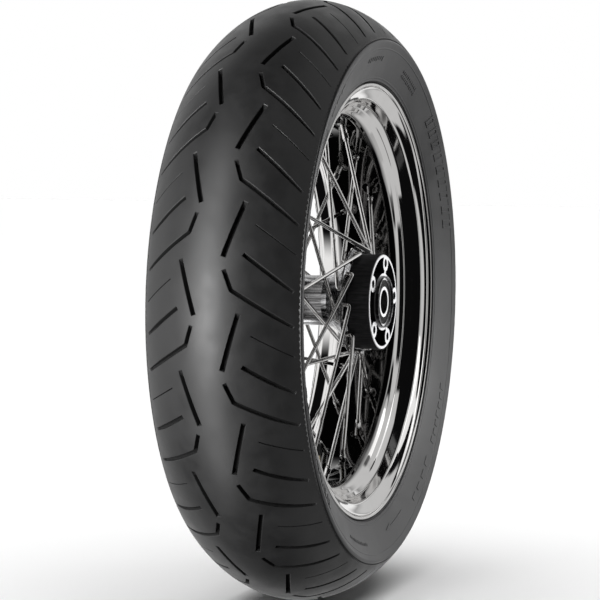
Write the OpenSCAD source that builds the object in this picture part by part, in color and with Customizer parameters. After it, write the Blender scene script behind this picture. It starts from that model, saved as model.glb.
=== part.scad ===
// Rear wheel of a motorcycle: a radial tyre on a wire-spoked drop-centre rim.
// The spin axis lies along Y and the origin is the wheel's centre.
// The brake disc bolts to the -Y side and the drive sprocket to the +Y side.

/* [Tyre] */
// Outside diameter over the tread
tyre_d = 636; // [628:1:644]
// Width across the sidewalls
tyre_w = 164; // [160:1:170]
// Radial drop from the crown to the widest point
crown_drop = 44.6; // [42:0.2:48]
// Fullness of the shoulders
crown_power = 1.7; // [1.5:0.05:1.9]
// Half angle of the crown curve that the tread covers
tread_span = 72.7; // [70:0.1:75]
// Tread rubber at the crown
tread_t = 8; // [7:0.5:9]
// Number of repeats of the groove pattern round the tyre
pitches = 18; // [16:1:20]
// Depth of the tread grooves
groove_depth = 5; // [3:0.5:6]
// Width of the tread grooves
groove_w = 4.4; // [3:0.2:6]

/* [Rim] */
// Radius of the bead seat at the flange, for a 17 inch rim
seat_r = 216.9; // [216.5:0.1:217.3]
// Width between the flanges, 4.50 inches
rim_w = 114.3; // [112:0.1:116]
// Radius of the well's floor on the tyre side
well_r = 199; // [198:0.5:200]
// Thickness of the well's floor
well_t = 4; // [3.5:0.5:4.5]

/* [Spokes] */
// Spokes in each of the four sets
set_count = 10; // [8:1:10]
// Turn of each spoke from its hub hole to its rim hole
lace_angle = 72; // [70:1:73]
// Diameter of the plain spoke wire
spoke_d = 4; // [3.6:0.1:4]
// Diameter of the butted end at the hub
butt_d = 4.6; // [4.2:0.1:4.6]
// Distance of the rim holes from the centre plane
nipple_y = 13; // [11:0.5:14]

/* [Hub] */
// Radius of the barrel at its middle
barrel_r = 26.5; // [25:0.5:28]
// Radius of the circle of spoke holes
hole_circle_r = 54; // [53.8:0.1:54.5]
// Radius of the two flanges
flange_r = 58.5; // [58:0.1:59]
// Radius of the disc and sprocket carriers
carrier_r = 50; // [49:0.5:50]
// Distance of the brake disc's face from the centre plane
brake_face = 78.5; // [77:0.5:80]
// Distance of the sprocket's face from the centre plane
drive_face = 72; // [71:0.5:74]
// Diameter of the bolt circles
bolt_circle_d = 82.5; // [80:0.5:84]
// Tapping diameter of the bolt holes, for M10
bolt_hole_d = 8.5; // [8.2:0.1:8.8]

/* [Bearings] */
// Bore of the bearings, which is the axle's diameter
axle_d = 25; // [24.8:0.05:25.2]
// Outside diameter of the bearings
bearing_d = 52; // [51.8:0.1:52]
// Width of the bearings
bearing_w = 15; // [14.5:0.1:15]
// Diameter of one ball
ball_d = 7.94; // [7.8:0.02:8]
// Balls in each bearing
ball_count = 9; // [7:1:9]

/* [Valve] */
// Angle of the valve round the wheel
valve_angle = 274.5; // [274:0.5:275]
// Diameter of the threaded stem
stem_d = 8.3; // [8:0.1:8.4]
// Radius of the stem's mouth from the wheel's centre
mouth_r = 158; // [156:1:160]

/* [Hidden] */

$fn = 64;
eps = 0.01;

// Tyre section: every layer is a depth below the outer surface at the crown.
crown_r = tyre_d / 2;
half_w = tyre_w / 2;
side_ratio = 0.6;        // how much of a layer's depth is left at the sidewall
belt_out = tread_t;
belt_in = tread_t + 1.5;
ply_in = belt_in + 2;
liner_in = ply_in + 1.2;
belt_span = 60;
widest_r = crown_r - crown_drop;
toe_r = 217;
toe_y = 43;
toe_step = 0.9;          // how far the bead moves outward per millimetre of layer
wall_power = 2.6;
wall_end = 72;           // where the layers stop above the bead's base
arc_step = 7.5;
flange_gap = 0.3;

// A point on the crown half of a layer, t degrees round from the crown.
function crown_pt(t, d) = [
    crown_r - d - (crown_drop - d) * (1 - pow(cos(t), crown_power)),
    (half_w - side_ratio * d) * sin(t)
];

// A point on the lower half of a layer, s degrees down from the widest point.
function bead_y(d) = toe_y + (liner_in - d) * toe_step;
function wall_pt(s, d) = [
    widest_r - (widest_r - toe_r) * sin(s),
    bead_y(d) + (half_w - side_ratio * d - bead_y(d)) * pow(cos(s), wall_power)
];

function backwards(p) = [for (i = [len(p) - 1:-1:0]) p[i]];
function flipped(p) = [for (q = p) [q[0], -q[1]]];
function past_first(p) = [for (i = [1:len(p) - 1]) p[i]];
function both_sides(p) = concat(backwards(flipped(past_first(p))), p);
function crown_arc(d, from, to) = [for (t = [from:(to - from) / ceil(abs(to - from) / arc_step):to])
    crown_pt(t, d)];
function wall_arc(d, to) = [for (i = [1:10]) wall_pt(to * i / 10, d)];

// The point of a layer at the tread's edge, on the straight between its two neighbours.
last_step = floor(tread_span / arc_step) * arc_step;
function edge_pt(d) = crown_pt(last_step, d)
    + (crown_pt(last_step + arc_step, d) - crown_pt(last_step, d))
    * (tread_span - last_step) / arc_step;
tread_edge = concat([edge_pt(belt_in)],
    [for (t = [last_step:-arc_step:belt_span]) crown_pt(t, belt_in)]);
function layer(d) = both_sides(concat(crown_arc(d, 0, 90), wall_arc(d, wall_end)));

// Rim section: half of the outline on the tyre side, then half on the hub side.
seat_y = rim_w / 2;
flange_top = seat_r + 14;
well_half = 27;
hump_y = seat_y - 16.5;
rim_tyre_side = [
    [well_r, 0], [well_r, well_half], [well_r + 14.5, hump_y - 0.5], [seat_r - 0.6, hump_y + 1.2],
    [seat_r - 1.3, hump_y + 3], [seat_r, seat_y - 0.8], [seat_r + 0.8, seat_y],
    [flange_top - 6.8, seat_y], [flange_top - 3.6, seat_y + 1.2], [flange_top - 1, seat_y + 3.4],
    [flange_top, seat_y + 5.8], [flange_top - 0.2, seat_y + 7.6]
];
rim_hub_side = [
    [flange_top - 1.2, seat_y + 8.6], [flange_top - 2.7, seat_y + 8.7],
    [flange_top - 3.9, seat_y + 7.8], [flange_top - 4.6, seat_y + 6],
    [flange_top - 6.4, seat_y + 4.6], [seat_r - 2.6, seat_y + 0.4],
    [seat_r - 4, seat_y - 0.8], [seat_r - 6.6, seat_y - 11.8],
    [well_r - well_t + 2, well_half + 5.4], [well_r - well_t, well_half + 1]
];

// Spokes
flange_out = 54;
flange_in = 48.5;
outer_stand = 5;         // how far an outer spoke stands off its flange
inner_stand = 4;
hole_step = 360 / (2 * set_count);
drive_turn = hole_step / 2;
head_r = 3.4;
head_t = 1.4;
head_seat = 51;          // where the heads of the inner spokes seat in the flange
butt_len = 26;
taper_len = 10;
nipple_r = 3.15;
nipple_head_r = 4.6;
nipple_head_t = 2.5;
nipple_len = 21;
hex_len = 9;
pin_fit = 0.1;
head_drop = 1.5;         // how far a nipple's head is let into the well

// Bearings
sleeve_lip = 3.4;        // how far the sleeves stand out past the carriers
bearing_sunk = 2.2;      // how far the bearings are let into the sleeves
brake_bearing_y = brake_face + sleeve_lip - bearing_sunk - bearing_w / 2;
drive_bearing_y = drive_face + sleeve_lip - bearing_sunk - bearing_w / 2;
pitch_r = 19.25;
groove_r = ball_d / 2 + 0.08;
inner_shoulder_r = 16.4;
outer_shoulder_r = 22.1;
seal_seat_r = 23.2;
seal_t = 1;
seal_y = 6.8;
spacer_r = 16;

// Valve
core_bore_r = 2.6;
cap_r = 5;
cap_len = 12;
cap_travel = 14;
pin_travel = 1.5;
spring_turns = 7;

// Turns a profile of [radius, y] into a ring round the wheel's axis.
module ring() { rotate([-90, 0, 0]) rotate_extrude($fn = 180) children(); }

// A plain ring between two radii and two distances along the axis.
module tube_ring(r_in, r_out, y0, y1, faces = 96) {
    rotate([-90, 0, 0]) translate([0, 0, y0]) difference() {
        cylinder(r = r_out, h = y1 - y0, $fn = faces);
        translate([0, 0, -eps]) cylinder(r = r_in, h = y1 - y0 + 2 * eps, $fn = faces);
    }
}

// A hole parallel to the axle, at a radius and an angle.
module axial_hole(r, at_r, angle, y0, y1) {
    rotate([0, -angle, 0]) translate([at_r, y0, 0]) rotate([-90, 0, 0])
        cylinder(r = r, h = y1 - y0, $fn = 32);
}

module drive_side() { mirror([0, 1, 0]) rotate([0, -drive_turn, 0]) children(); }

// ---------------------------------------------------------------- tyre

// Groove angles round the tyre and distances from the crown, for one side of one pitch.
pitch_angle = 360 / pitches;
tread_phase = 8.4;

// A place on the tread: the angle round the wheel and the crown angle, to a point.
function tread_pt(a, t) = let (c = crown_pt(abs(t), 0))
    [c[0] * cos(a), sign(t) * c[1], c[0] * sin(a)];

// How far the tread's surface leans over at a crown angle.
function lean(t) = atan2(crown_drop * crown_power * pow(cos(t), crown_power - 1) * sin(t),
    half_w * cos(t));

// A straight cutter from one place on the tread to another, standing square to the surface.
module cutter(side, turn, a, b, w) {
    p = tread_pt(turn + a[0], side * a[1]);
    q = tread_pt(turn + b[0], side * b[1]);
    tilt = side * lean((a[1] + b[1]) / 2);
    mid = turn + (a[0] + b[0]) / 2;
    outward = [cos(mid) * cos(tilt), sin(tilt), sin(mid) * cos(tilt)];
    along = (q - p) / norm(q - p);
    upright = outward - along * (outward * along);
    up = upright / norm(upright);
    across = cross(up, along);
    multmatrix([
        [along[0], across[0], up[0], p[0]],
        [along[1], across[1], up[1], p[1]],
        [along[2], across[2], up[2], p[2]],
        [0, 0, 0, 1]
    ]) translate([-w / 3, -w / 2, -groove_depth])
        cube([norm(q - p) + w * 2 / 3, w, groove_depth + 10]);
}

module side_grooves(side, turn) {
    cutter(side, turn, [0.5, 21.5], [9.5, 10.5], groove_w);
    cutter(side, turn, [12, 12], [15.7, 17], groove_w);
    cutter(side, turn, [15.7, 17], [18.6, 38], groove_w * 0.9);
    cutter(side, turn, [18.6, 38], [21.6, 64], groove_w * 0.8);
    cutter(side, turn, [9.2, 24.5], [12, 43], groove_w * 0.8);
    cutter(side, turn, [12, 43], [14.8, 64], groove_w * 0.8);
    cutter(side, turn, [4, 34], [8, 64], groove_w * 0.5);
}

module tyre_tread() {
    color([0.13, 0.13, 0.135]) difference() {
        ring() polygon(concat(
            both_sides(crown_arc(0, 0, tread_span)),
            tread_edge,
            backwards(both_sides(crown_arc(belt_out, 0, belt_span))),
            backwards(flipped(tread_edge))
        ));
        for (k = [0:pitches - 1]) {
            side_grooves(1, tread_phase + k * pitch_angle);
            side_grooves(-1, tread_phase + (k + 0.5) * pitch_angle);
        }
    }
}

module tyre_belt() {
    color([0.45, 0.43, 0.40]) ring() polygon(concat(
        both_sides(crown_arc(belt_out, 0, belt_span)),
        backwards(both_sides(crown_arc(belt_in, 0, belt_span)))
    ));
}

module tyre_casing() {
    color([0.35, 0.33, 0.30]) ring() polygon(concat(layer(belt_in), backwards(layer(ply_in))));
}

module tyre_inner_liner() {
    color([0.2, 0.2, 0.2]) ring() polygon(concat(layer(ply_in), backwards(layer(liner_in))));
}

// Bead wire and filler stand on the outside of the casing, y towards the flange.
wire_top = 224.4;
wire_bottom = 218.8;
wire_in = 51.1;
wire_w = 4.6;
filler_from = 58;
filler_to = 22;

module wire_2d() { translate([wire_bottom, wire_in]) square([wire_top - wire_bottom, wire_w]); }

function filler_width(s) = 0.4 + (wire_w - 0.8) * (s - filler_to) / (filler_from - filler_to);
function filler_pt(s, out) = wall_pt(s, belt_in) + [0, 0.4 + out * filler_width(s)];
module filler_2d() {
    polygon(concat(
        [for (i = [0:6]) filler_pt(filler_from + (filler_to - filler_from) * i / 6, 0)],
        [for (i = [6:-1:0]) filler_pt(filler_from + (filler_to - filler_from) * i / 6, 1)]
    ));
}

// Outside of the sidewall, from the tread's edge to just above the rim flange.
rim_guard = [flange_top + 2, seat_y + 9.4];
function outer_wall(s) = [
    widest_r - (widest_r - rim_guard[0]) * sin(s),
    rim_guard[1] + (half_w - rim_guard[1]) * pow(cos(s), 1.3)
];

module sidewall_2d() {
    difference() {
        polygon(concat(
            crown_arc(0, tread_span, 90),
            [for (i = [1:9]) outer_wall(i * 10)],
            [
                [flange_top + 1, seat_y + 7.6], [flange_top + flange_gap, seat_y + 5.8],
                [flange_top - 0.8, seat_y + 3.1], [flange_top - 3.4, seat_y + 0.9],
                [flange_top - 6.8, seat_y - flange_gap], [seat_r + 0.9, seat_y - flange_gap],
                [seat_r + flange_gap, seat_y - 0.9], [seat_r - 0.9, toe_y + 1],
                [wall_pt(wall_end, liner_in)[0] - 1.5, toe_y + 0.3]
            ],
            [wall_pt(wall_end, liner_in)],
            backwards(wall_arc(belt_in, wall_end)),
            [for (t = [90:-arc_step:last_step + arc_step]) crown_pt(t, belt_in)],
            [edge_pt(belt_in)]
        ));
        wire_2d();
        filler_2d();
    }
}

module tyre_sidewall_brake() { color([0.3, 0.3, 0.3]) ring() mirror([0, 1]) sidewall_2d(); }
module tyre_sidewall_drive() { color([0.3, 0.3, 0.3]) ring() sidewall_2d(); }
module bead_wire_brake() { color([0.72, 0.6, 0.4]) ring() mirror([0, 1]) wire_2d(); }
module bead_wire_drive() { color([0.72, 0.6, 0.4]) ring() wire_2d(); }
module bead_filler_brake() { color([0.25, 0.22, 0.2]) ring() mirror([0, 1]) filler_2d(); }
module bead_filler_drive() { color([0.25, 0.22, 0.2]) ring() filler_2d(); }

// ---------------------------------------------------------------- tube, tape and rim

tube_gap = 0.4;
tube_t = 2;
tape_r = well_r + 2.9;
tape_t = 1.5;
tape_half = 22;
tube_floor = tape_r + tape_t + 1.2;

function tube_path(in) = both_sides(concat(
    crown_arc(liner_in + tube_gap + in, 0, 90),
    [for (i = [1:7]) wall_pt(i * 8, liner_in + tube_gap) - [0, in * side_ratio]],
    [
        [toe_r + 4, toe_y - 3 - in], [toe_r - 4, toe_y - 9 - in],
        [tube_floor + 3 + in / 2, 26 - in], [tube_floor + in, 20 - in]
    ]
));

module inner_tube() {
    color([0.16, 0.16, 0.16]) difference() {
        ring() difference() {
            polygon(tube_path(0));
            polygon(tube_path(tube_t));
        }
        at_valve(tube_floor - 2) cylinder(r = core_bore_r, h = 6, $fn = 32);
    }
}

module rim_tape() {
    color([0.1, 0.1, 0.1]) difference() {
        tube_ring(tape_r, tape_r + tape_t, -tape_half, tape_half, 180);
        at_valve(tape_r - 5) cylinder(r = 11, h = 12, $fn = 48);
    }
}

module rim() {
    color([0.75, 0.76, 0.78]) difference() {
        ring() polygon(concat(both_sides(rim_tyre_side), backwards(both_sides(backwards(
            concat(rim_hub_side, [[well_r - well_t, 0]]))))));
        for (k = [0:set_count - 1]) {
            for (inner = [false, true]) {
                rim_hole(k, inner);
                drive_side() rim_hole(k, inner);
            }
        }
        at_valve(well_r - 12) cylinder(r = stem_d / 2 + 0.25, h = 20, $fn = 32);
    }
}

// ---------------------------------------------------------------- spokes and nipples

function polar(r, angle, y) = [r * cos(angle), y, r * sin(angle)];
function hub_end(k, inner) = inner
    ? polar(hole_circle_r, (2 * k + 1) * hole_step, -(flange_in - inner_stand))
    : polar(hole_circle_r, 2 * k * hole_step, -(flange_out + outer_stand));
function rim_end(k, inner) = inner
    ? polar(well_r, (2 * k + 1) * hole_step - lace_angle, -nipple_y)
    : polar(well_r, 2 * k * hole_step + lace_angle, -nipple_y);
function spoke_len(inner) = norm(rim_end(0, inner) - hub_end(0, inner));

// Places its children along a spoke, with Z running from the hub to the rim.
module along_spoke(k, inner) {
    from = hub_end(k, inner);
    run = rim_end(k, inner) - from;
    translate(from) rotate([0, acos(run[2] / norm(run)), atan2(run[1], run[0])])
        rotate([0, 0, atan2(-run[1], -run[0])]) children();
}

module rim_hole(k, inner) {
    reach = spoke_len(inner);
    along_spoke(k, inner) {
        translate([0, 0, reach - 14]) cylinder(r = nipple_r + 0.2, h = 20, $fn = 32);
        translate([0, 0, reach - head_drop]) cylinder(r = nipple_head_r + 0.3, h = 10, $fn = 32);
    }
}

module spoke(k, inner) {
    reach = spoke_len(inner);
    along_spoke(k, inner) rotate_extrude($fn = 24) polygon([
        [0, 0], [butt_d / 2, 0], [butt_d / 2, butt_len],
        [spoke_d / 2, butt_len + taper_len], [spoke_d / 2, reach - 0.5], [0, reach - 0.5]
    ]);
    translate(hub_end(k, inner)) sphere(d = butt_d + 0.5, $fn = 24);
    y_hub = hub_end(k, inner)[1];
    angle = (2 * k + (inner ? 1 : 0)) * hole_step;
    if (inner) {
        axial_hole(butt_d / 2, hole_circle_r, angle, -head_seat - head_t / 2, y_hub);
        axial_hole(head_r, hole_circle_r, angle, -head_seat - head_t, -head_seat);
    } else {
        axial_hole(butt_d / 2, hole_circle_r, angle, y_hub, -flange_in + head_t / 2);
        axial_hole(head_r, hole_circle_r, angle, -flange_in, -flange_in + head_t);
    }
}

module spoke_set(inner) { for (k = [0:set_count - 1]) spoke(k, inner); }

module nipple(k, inner) {
    reach = spoke_len(inner);
    along_spoke(k, inner) translate([0, 0, reach - head_drop]) difference() {
        union() {
            cylinder(r = nipple_head_r, h = nipple_head_t, $fn = 32);
            translate([0, 0, -nipple_len]) cylinder(r = nipple_r, h = nipple_len + 1, $fn = 32);
            translate([0, 0, -nipple_len]) cylinder(r = nipple_r + 0.6, h = hex_len, $fn = 6);
        }
        translate([0, 0, -nipple_len - 1])
            cylinder(d = spoke_d + 2 * pin_fit, h = nipple_len + nipple_head_t + 2, $fn = 24);
    }
}

module nipple_set(inner) { for (k = [0:set_count - 1]) nipple(k, inner); }

module spokes_brake_outer() { color([0.82, 0.83, 0.85]) spoke_set(false); }
module spokes_brake_inner() { color([0.82, 0.83, 0.85]) spoke_set(true); }
module spokes_drive_outer() { color([0.82, 0.83, 0.85]) drive_side() spoke_set(false); }
module spokes_drive_inner() { color([0.82, 0.83, 0.85]) drive_side() spoke_set(true); }
module nipples_brake_outer() { color([0.9, 0.9, 0.92]) nipple_set(false); }
module nipples_brake_inner() { color([0.9, 0.9, 0.92]) nipple_set(true); }
module nipples_drive_outer() { color([0.9, 0.9, 0.92]) drive_side() nipple_set(false); }
module nipples_drive_inner() { color([0.9, 0.9, 0.92]) drive_side() nipple_set(true); }

// ---------------------------------------------------------------- hub

sleeve_r = 27.4;         // outside of the sleeves that hold the bearings

// Outside of the hub shell from the middle to one end.
function hub_outline(face) = [
    [barrel_r, 0], [barrel_r, 18], [28, 24], [31.5, 30], [37, 36], [44, flange_in - 5],
    [50, flange_in], [flange_r - 0.6, flange_in], [flange_r, flange_in + 0.6],
    [flange_r, flange_out - 3.4], [52.5, flange_out], [sleeve_r, flange_out],
    [sleeve_r, face + sleeve_lip - 0.5], [sleeve_r - 0.5, face + sleeve_lip]
];
function hub_bore(face) = [
    [bearing_d / 2 + 0.5, face + sleeve_lip], [bearing_d / 2, face + sleeve_lip - 0.5],
    [bearing_d / 2, face + sleeve_lip - bearing_sunk - bearing_w],
    [20, face + sleeve_lip - bearing_sunk - bearing_w], [20, 0]
];

module hub_half(face) { ring() polygon(concat(hub_outline(face), hub_bore(face))); }

module spoke_holes() {
    for (k = [0:set_count - 1]) {
        axial_hole(butt_d / 2 + 0.15, hole_circle_r, 2 * k * hole_step, -60, -40);
        axial_hole(butt_d / 2 + 0.15, hole_circle_r, (2 * k + 1) * hole_step, -60, -40);
        axial_hole(head_r + 0.1, hole_circle_r, (2 * k + 1) * hole_step, -60, -head_seat);
    }
}

module hub_shell() {
    color([0.7, 0.71, 0.73]) difference() {
        union() {
            mirror([0, 1, 0]) hub_half(brake_face);
            hub_half(drive_face);
        }
        spoke_holes();
        drive_side() spoke_holes();
    }
}

pocket_in = sleeve_r + 2.8;
pocket_out = carrier_r - 3.2;
pocket_depth = 12;
boss_r = 8.6;
bolt_turn = 5;

// A carrier standing on the flange, its face towards -Y with five bosses round a pocket.
module carrier(face, turn) {
    rotate([0, -turn, 0]) difference() {
        rotate([90, 0, 0]) difference() {
            union() {
                translate([0, 0, flange_out]) cylinder(r = carrier_r, h = face - flange_out - 0.6);
                translate([0, 0, face - 0.6]) cylinder(r1 = carrier_r, r2 = carrier_r - 0.6, h = 0.6);
            }
            translate([0, 0, flange_out - 1])
                cylinder(r = sleeve_r + 0.02, h = face - flange_out + 2);
        }
        difference() {
            tube_ring(pocket_in, pocket_out, -face - 1, -face + pocket_depth);
            for (k = [0:4]) {
                axial_hole(boss_r, bolt_circle_d / 2, k * 72, -face - 2, -face + pocket_depth + 1);
                rotate([0, -k * 72, 0]) translate([pocket_in - 3, -face - 2, -2.6])
                    cube([8, pocket_depth + 3, 5.2]);
            }
        }
        for (k = [0:4]) {
            axial_hole(bolt_hole_d / 2, bolt_circle_d / 2, k * 72, -face - 1, -flange_out + 1);
        }
    }
}

module disc_carrier() { color([0.2, 0.2, 0.21]) carrier(brake_face, bolt_turn); }
module sprocket_carrier() {
    color([0.2, 0.2, 0.21]) mirror([0, 1, 0]) carrier(drive_face, bolt_turn);
}

// ---------------------------------------------------------------- bearings

module at_brake() { translate([0, -brake_bearing_y, 0]) children(); }
module at_drive() { translate([0, drive_bearing_y, 0]) children(); }

module outer_race() {
    ring() difference() {
        translate([outer_shoulder_r, -bearing_w / 2])
            square([bearing_d / 2 - outer_shoulder_r, bearing_w]);
        translate([pitch_r, 0]) circle(r = groove_r, $fn = 48);
        for (side = [-1, 1]) {
            translate([outer_shoulder_r - 1, side * (seal_y + 0.2) - 1])
                square([seal_seat_r - outer_shoulder_r + 1, 2]);
        }
    }
}

module inner_race() {
    ring() difference() {
        translate([axle_d / 2, -bearing_w / 2])
            square([inner_shoulder_r - axle_d / 2, bearing_w]);
        translate([pitch_r, 0]) circle(r = groove_r, $fn = 48);
    }
}

module balls() {
    for (k = [0:ball_count - 1]) {
        rotate([0, -k * 360 / ball_count, 0]) translate([pitch_r, 0, 0])
            sphere(d = ball_d, $fn = 32);
    }
}

module cage() {
    difference() {
        tube_ring(pitch_r - 0.9, pitch_r + 0.9, -4.9, 4.9, 72);
        for (k = [0:ball_count - 1]) {
            rotate([0, -k * 360 / ball_count, 0]) translate([pitch_r - 4, 0, 0])
                rotate([0, 90, 0]) cylinder(r = groove_r, h = 8, $fn = 32);
        }
    }
}

module seal(side) {
    tube_ring(inner_shoulder_r + 0.4, seal_seat_r,
        side * seal_y - seal_t / 2, side * seal_y + seal_t / 2);
}

module bearing_outer_race_brake() { color([0.7, 0.7, 0.72]) at_brake() outer_race(); }
module bearing_outer_race_drive() { color([0.7, 0.7, 0.72]) at_drive() outer_race(); }
module bearing_inner_race_brake() { color([0.75, 0.75, 0.77]) at_brake() inner_race(); }
module bearing_inner_race_drive() { color([0.75, 0.75, 0.77]) at_drive() inner_race(); }
module bearing_balls_brake() { color([0.85, 0.85, 0.87]) at_brake() balls(); }
module bearing_balls_drive() { color([0.85, 0.85, 0.87]) at_drive() balls(); }
module bearing_cage_brake() { color([0.6, 0.6, 0.6]) at_brake() cage(); }
module bearing_cage_drive() { color([0.6, 0.6, 0.6]) at_drive() cage(); }
module bearing_seal_brake() { color([0.12, 0.12, 0.12]) at_brake() seal(-1); }
module bearing_seal_drive() { color([0.12, 0.12, 0.12]) at_drive() seal(1); }
module bearing_inner_seal_brake() { color([0.12, 0.12, 0.12]) at_brake() seal(1); }
module bearing_inner_seal_drive() { color([0.12, 0.12, 0.12]) at_drive() seal(-1); }

// Distance tube between the two inner races, clamped with them by the axle.
module bearing_spacer() {
    color([0.5, 0.5, 0.52]) tube_ring(axle_d / 2 + 0.6, spacer_r,
        -brake_bearing_y + bearing_w / 2, drive_bearing_y - bearing_w / 2);
}

// ---------------------------------------------------------------- valve

// Places its children on the valve's line, with Z running outward from radius r.
module at_valve(r) {
    rotate([0, -valve_angle, 0]) translate([r, 0, 0]) rotate([0, 90, 0]) children();
}

neck_d = 7.7;
neck_len = 12;
stem_top = tube_floor - 0.4;
core_len = 12;

module valve_stem() {
    color([0.78, 0.66, 0.4]) at_valve(mouth_r) difference() {
        union() {
            cylinder(d = neck_d, h = neck_len, $fn = 48);
            translate([0, 0, neck_len]) cylinder(d = stem_d, h = stem_top - mouth_r - neck_len);
            translate([0, 0, stem_top - mouth_r - 2]) cylinder(r = 9, h = 2, $fn = 48);
        }
        translate([0, 0, -1]) cylinder(r = core_bore_r, h = stem_top - mouth_r + 2, $fn = 32);
    }
}

module valve_washer() {
    color([0.8, 0.8, 0.8]) at_valve(well_r - well_t - 1.5) difference() {
        cylinder(r = 7.5, h = 1.2, $fn = 48);
        translate([0, 0, -1]) cylinder(r = stem_d / 2 + pin_fit, h = 4, $fn = 48);
    }
}

module valve_nut() {
    color([0.85, 0.8, 0.6]) at_valve(well_r - well_t - 5.8) difference() {
        cylinder(r = 6.9, h = 4.2, $fn = 6);
        translate([0, 0, -1]) cylinder(r = stem_d / 2 + pin_fit / 2, h = 7, $fn = 48);
    }
}

// The core's body: a sleeve in the stem whose lower end carries the seat.
module valve_core() {
    color([0.75, 0.7, 0.45]) at_valve(mouth_r + 2) difference() {
        cylinder(r = core_bore_r - 0.02, h = core_len, $fn = 32);
        translate([0, 0, -1]) cylinder(r = 1.6, h = core_len + 0.1, $fn = 32);
        translate([0, 0, -1]) cylinder(r = 0.7, h = core_len + 2, $fn = 32);
    }
}

// The pin and its plug. The plug seats against the core's end.
module valve_pin() {
    color([0.8, 0.75, 0.5]) at_valve(mouth_r + 0.6) {
        cylinder(r = 0.62, h = core_len + 4, $fn = 24);
        translate([0, 0, 1.4]) cylinder(r = 1.3, h = 0.8, $fn = 24);
        translate([0, 0, core_len + 1.6]) cylinder(r = 1.9, h = 3, $fn = 24);
    }
}

// A coil of round wire, with its axis along Z.
module coil(coil_r, wire_r, height, turns) {
    sides = 6;
    steps = turns * 12;
    function spot(i, j) = let (a = i * 30, b = j * 360 / sides, r = coil_r + wire_r * cos(b))
        [r * cos(a), r * sin(a), height * i / steps + wire_r * sin(b)];
    points = [for (i = [0:steps]) for (j = [0:sides - 1]) spot(i, j)];
    walls = [for (i = [0:steps - 1]) for (j = [0:sides - 1]) let (n = (j + 1) % sides)
        [i * sides + j, (i + 1) * sides + j, (i + 1) * sides + n, i * sides + n]];
    first = [for (j = [0:sides - 1]) j];
    last = [for (j = [sides - 1:-1:0]) steps * sides + j];
    polyhedron(points = points, faces = concat([first], walls, [last]));
}

module valve_spring() {
    color([0.8, 0.8, 0.82]) at_valve(mouth_r + 3.1)
        coil(1.15, 0.2, core_len - 2.4, spring_turns);
}

module valve_cap() {
    color([0.08, 0.08, 0.08]) at_valve(mouth_r - 2) difference() {
        union() {
            cylinder(r = cap_r, h = cap_len, $fn = 48);
            for (k = [0:11]) {
                rotate([0, 0, k * 30]) translate([cap_r, 0, 1.5])
                    cylinder(r = 0.5, h = cap_len - 3, $fn = 16);
            }
        }
        translate([0, 0, 1.6]) cylinder(r = neck_d / 2 + pin_fit, h = cap_len, $fn = 48);
    }
}

tyre_tread();
tyre_belt();
tyre_casing();
tyre_inner_liner();
tyre_sidewall_brake();
tyre_sidewall_drive();
bead_wire_brake();
bead_wire_drive();
bead_filler_brake();
bead_filler_drive();
inner_tube();
rim_tape();
rim();
spokes_brake_outer();
spokes_brake_inner();
spokes_drive_outer();
spokes_drive_inner();
nipples_brake_outer();
nipples_brake_inner();
nipples_drive_outer();
nipples_drive_inner();
hub_shell();
disc_carrier();
sprocket_carrier();
bearing_outer_race_brake();
bearing_outer_race_drive();
bearing_inner_race_brake();
bearing_inner_race_drive();
bearing_balls_brake();
bearing_balls_drive();
bearing_cage_brake();
bearing_cage_drive();
bearing_seal_brake();
bearing_seal_drive();
bearing_inner_seal_brake();
bearing_inner_seal_drive();
bearing_spacer();
valve_stem();
valve_washer();
valve_nut();
valve_core();
valve_pin();
valve_spring();
valve_cap();
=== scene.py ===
import math
from math import cos, pi, radians, sin

import bpy
import numpy as np
from mathutils import Matrix, Vector
from mathutils.geometry import delaunay_2d_cdt


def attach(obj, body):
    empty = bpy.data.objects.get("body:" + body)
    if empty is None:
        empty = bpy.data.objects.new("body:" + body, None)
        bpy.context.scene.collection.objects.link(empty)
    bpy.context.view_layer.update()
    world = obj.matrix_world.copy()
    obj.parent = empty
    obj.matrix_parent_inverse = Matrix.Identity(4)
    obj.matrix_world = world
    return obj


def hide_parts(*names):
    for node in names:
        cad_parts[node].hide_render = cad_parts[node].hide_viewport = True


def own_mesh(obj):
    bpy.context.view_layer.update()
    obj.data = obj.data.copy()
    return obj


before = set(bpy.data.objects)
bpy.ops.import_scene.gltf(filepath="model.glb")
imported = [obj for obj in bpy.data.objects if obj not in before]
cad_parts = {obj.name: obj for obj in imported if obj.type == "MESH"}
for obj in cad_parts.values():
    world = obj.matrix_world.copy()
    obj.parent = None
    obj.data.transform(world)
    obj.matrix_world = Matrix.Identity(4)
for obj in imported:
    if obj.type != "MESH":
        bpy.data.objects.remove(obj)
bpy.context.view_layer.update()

bl_info = {
    "name": "Motorcycle Wheel Builder",
    "version": (1, 0, 0),
    "blender": (4, 5, 0),
    "location": "View3D > Sidebar > Wheel",
    "description": "Builds a wire-spoked motorcycle wheel with its tyre, hub and stage",
    "category": "Add Mesh",
}

MM = 0.001
SPOKES = ("spokes_brake_outer", "spokes_brake_inner", "spokes_drive_outer", "spokes_drive_inner")
NIPPLES = tuple(name.replace("spokes", "nipples") for name in SPOKES)
VALVE_ANGLE = radians(274.5)
FLANGE = 14.0  # millimetres from the bead seat out to the rim's edge


# ---------------------------------------------------------------- sizes and colours


def length(name, text, value):
    """A size in metres."""
    return bpy.props.FloatProperty(
        name=name, description=text, default=value, min=0.0, precision=5, unit="LENGTH"
    )


def angle(name, text, value, low=-pi, high=pi):
    """An angle in radians, shown in degrees."""
    return bpy.props.FloatProperty(
        name=name, description=text, default=value, min=low, max=high, subtype="ANGLE"
    )


def count(name, text, value, low, high):
    """A whole number."""
    return bpy.props.IntProperty(name=name, description=text, default=value, min=low, max=high)


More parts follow.
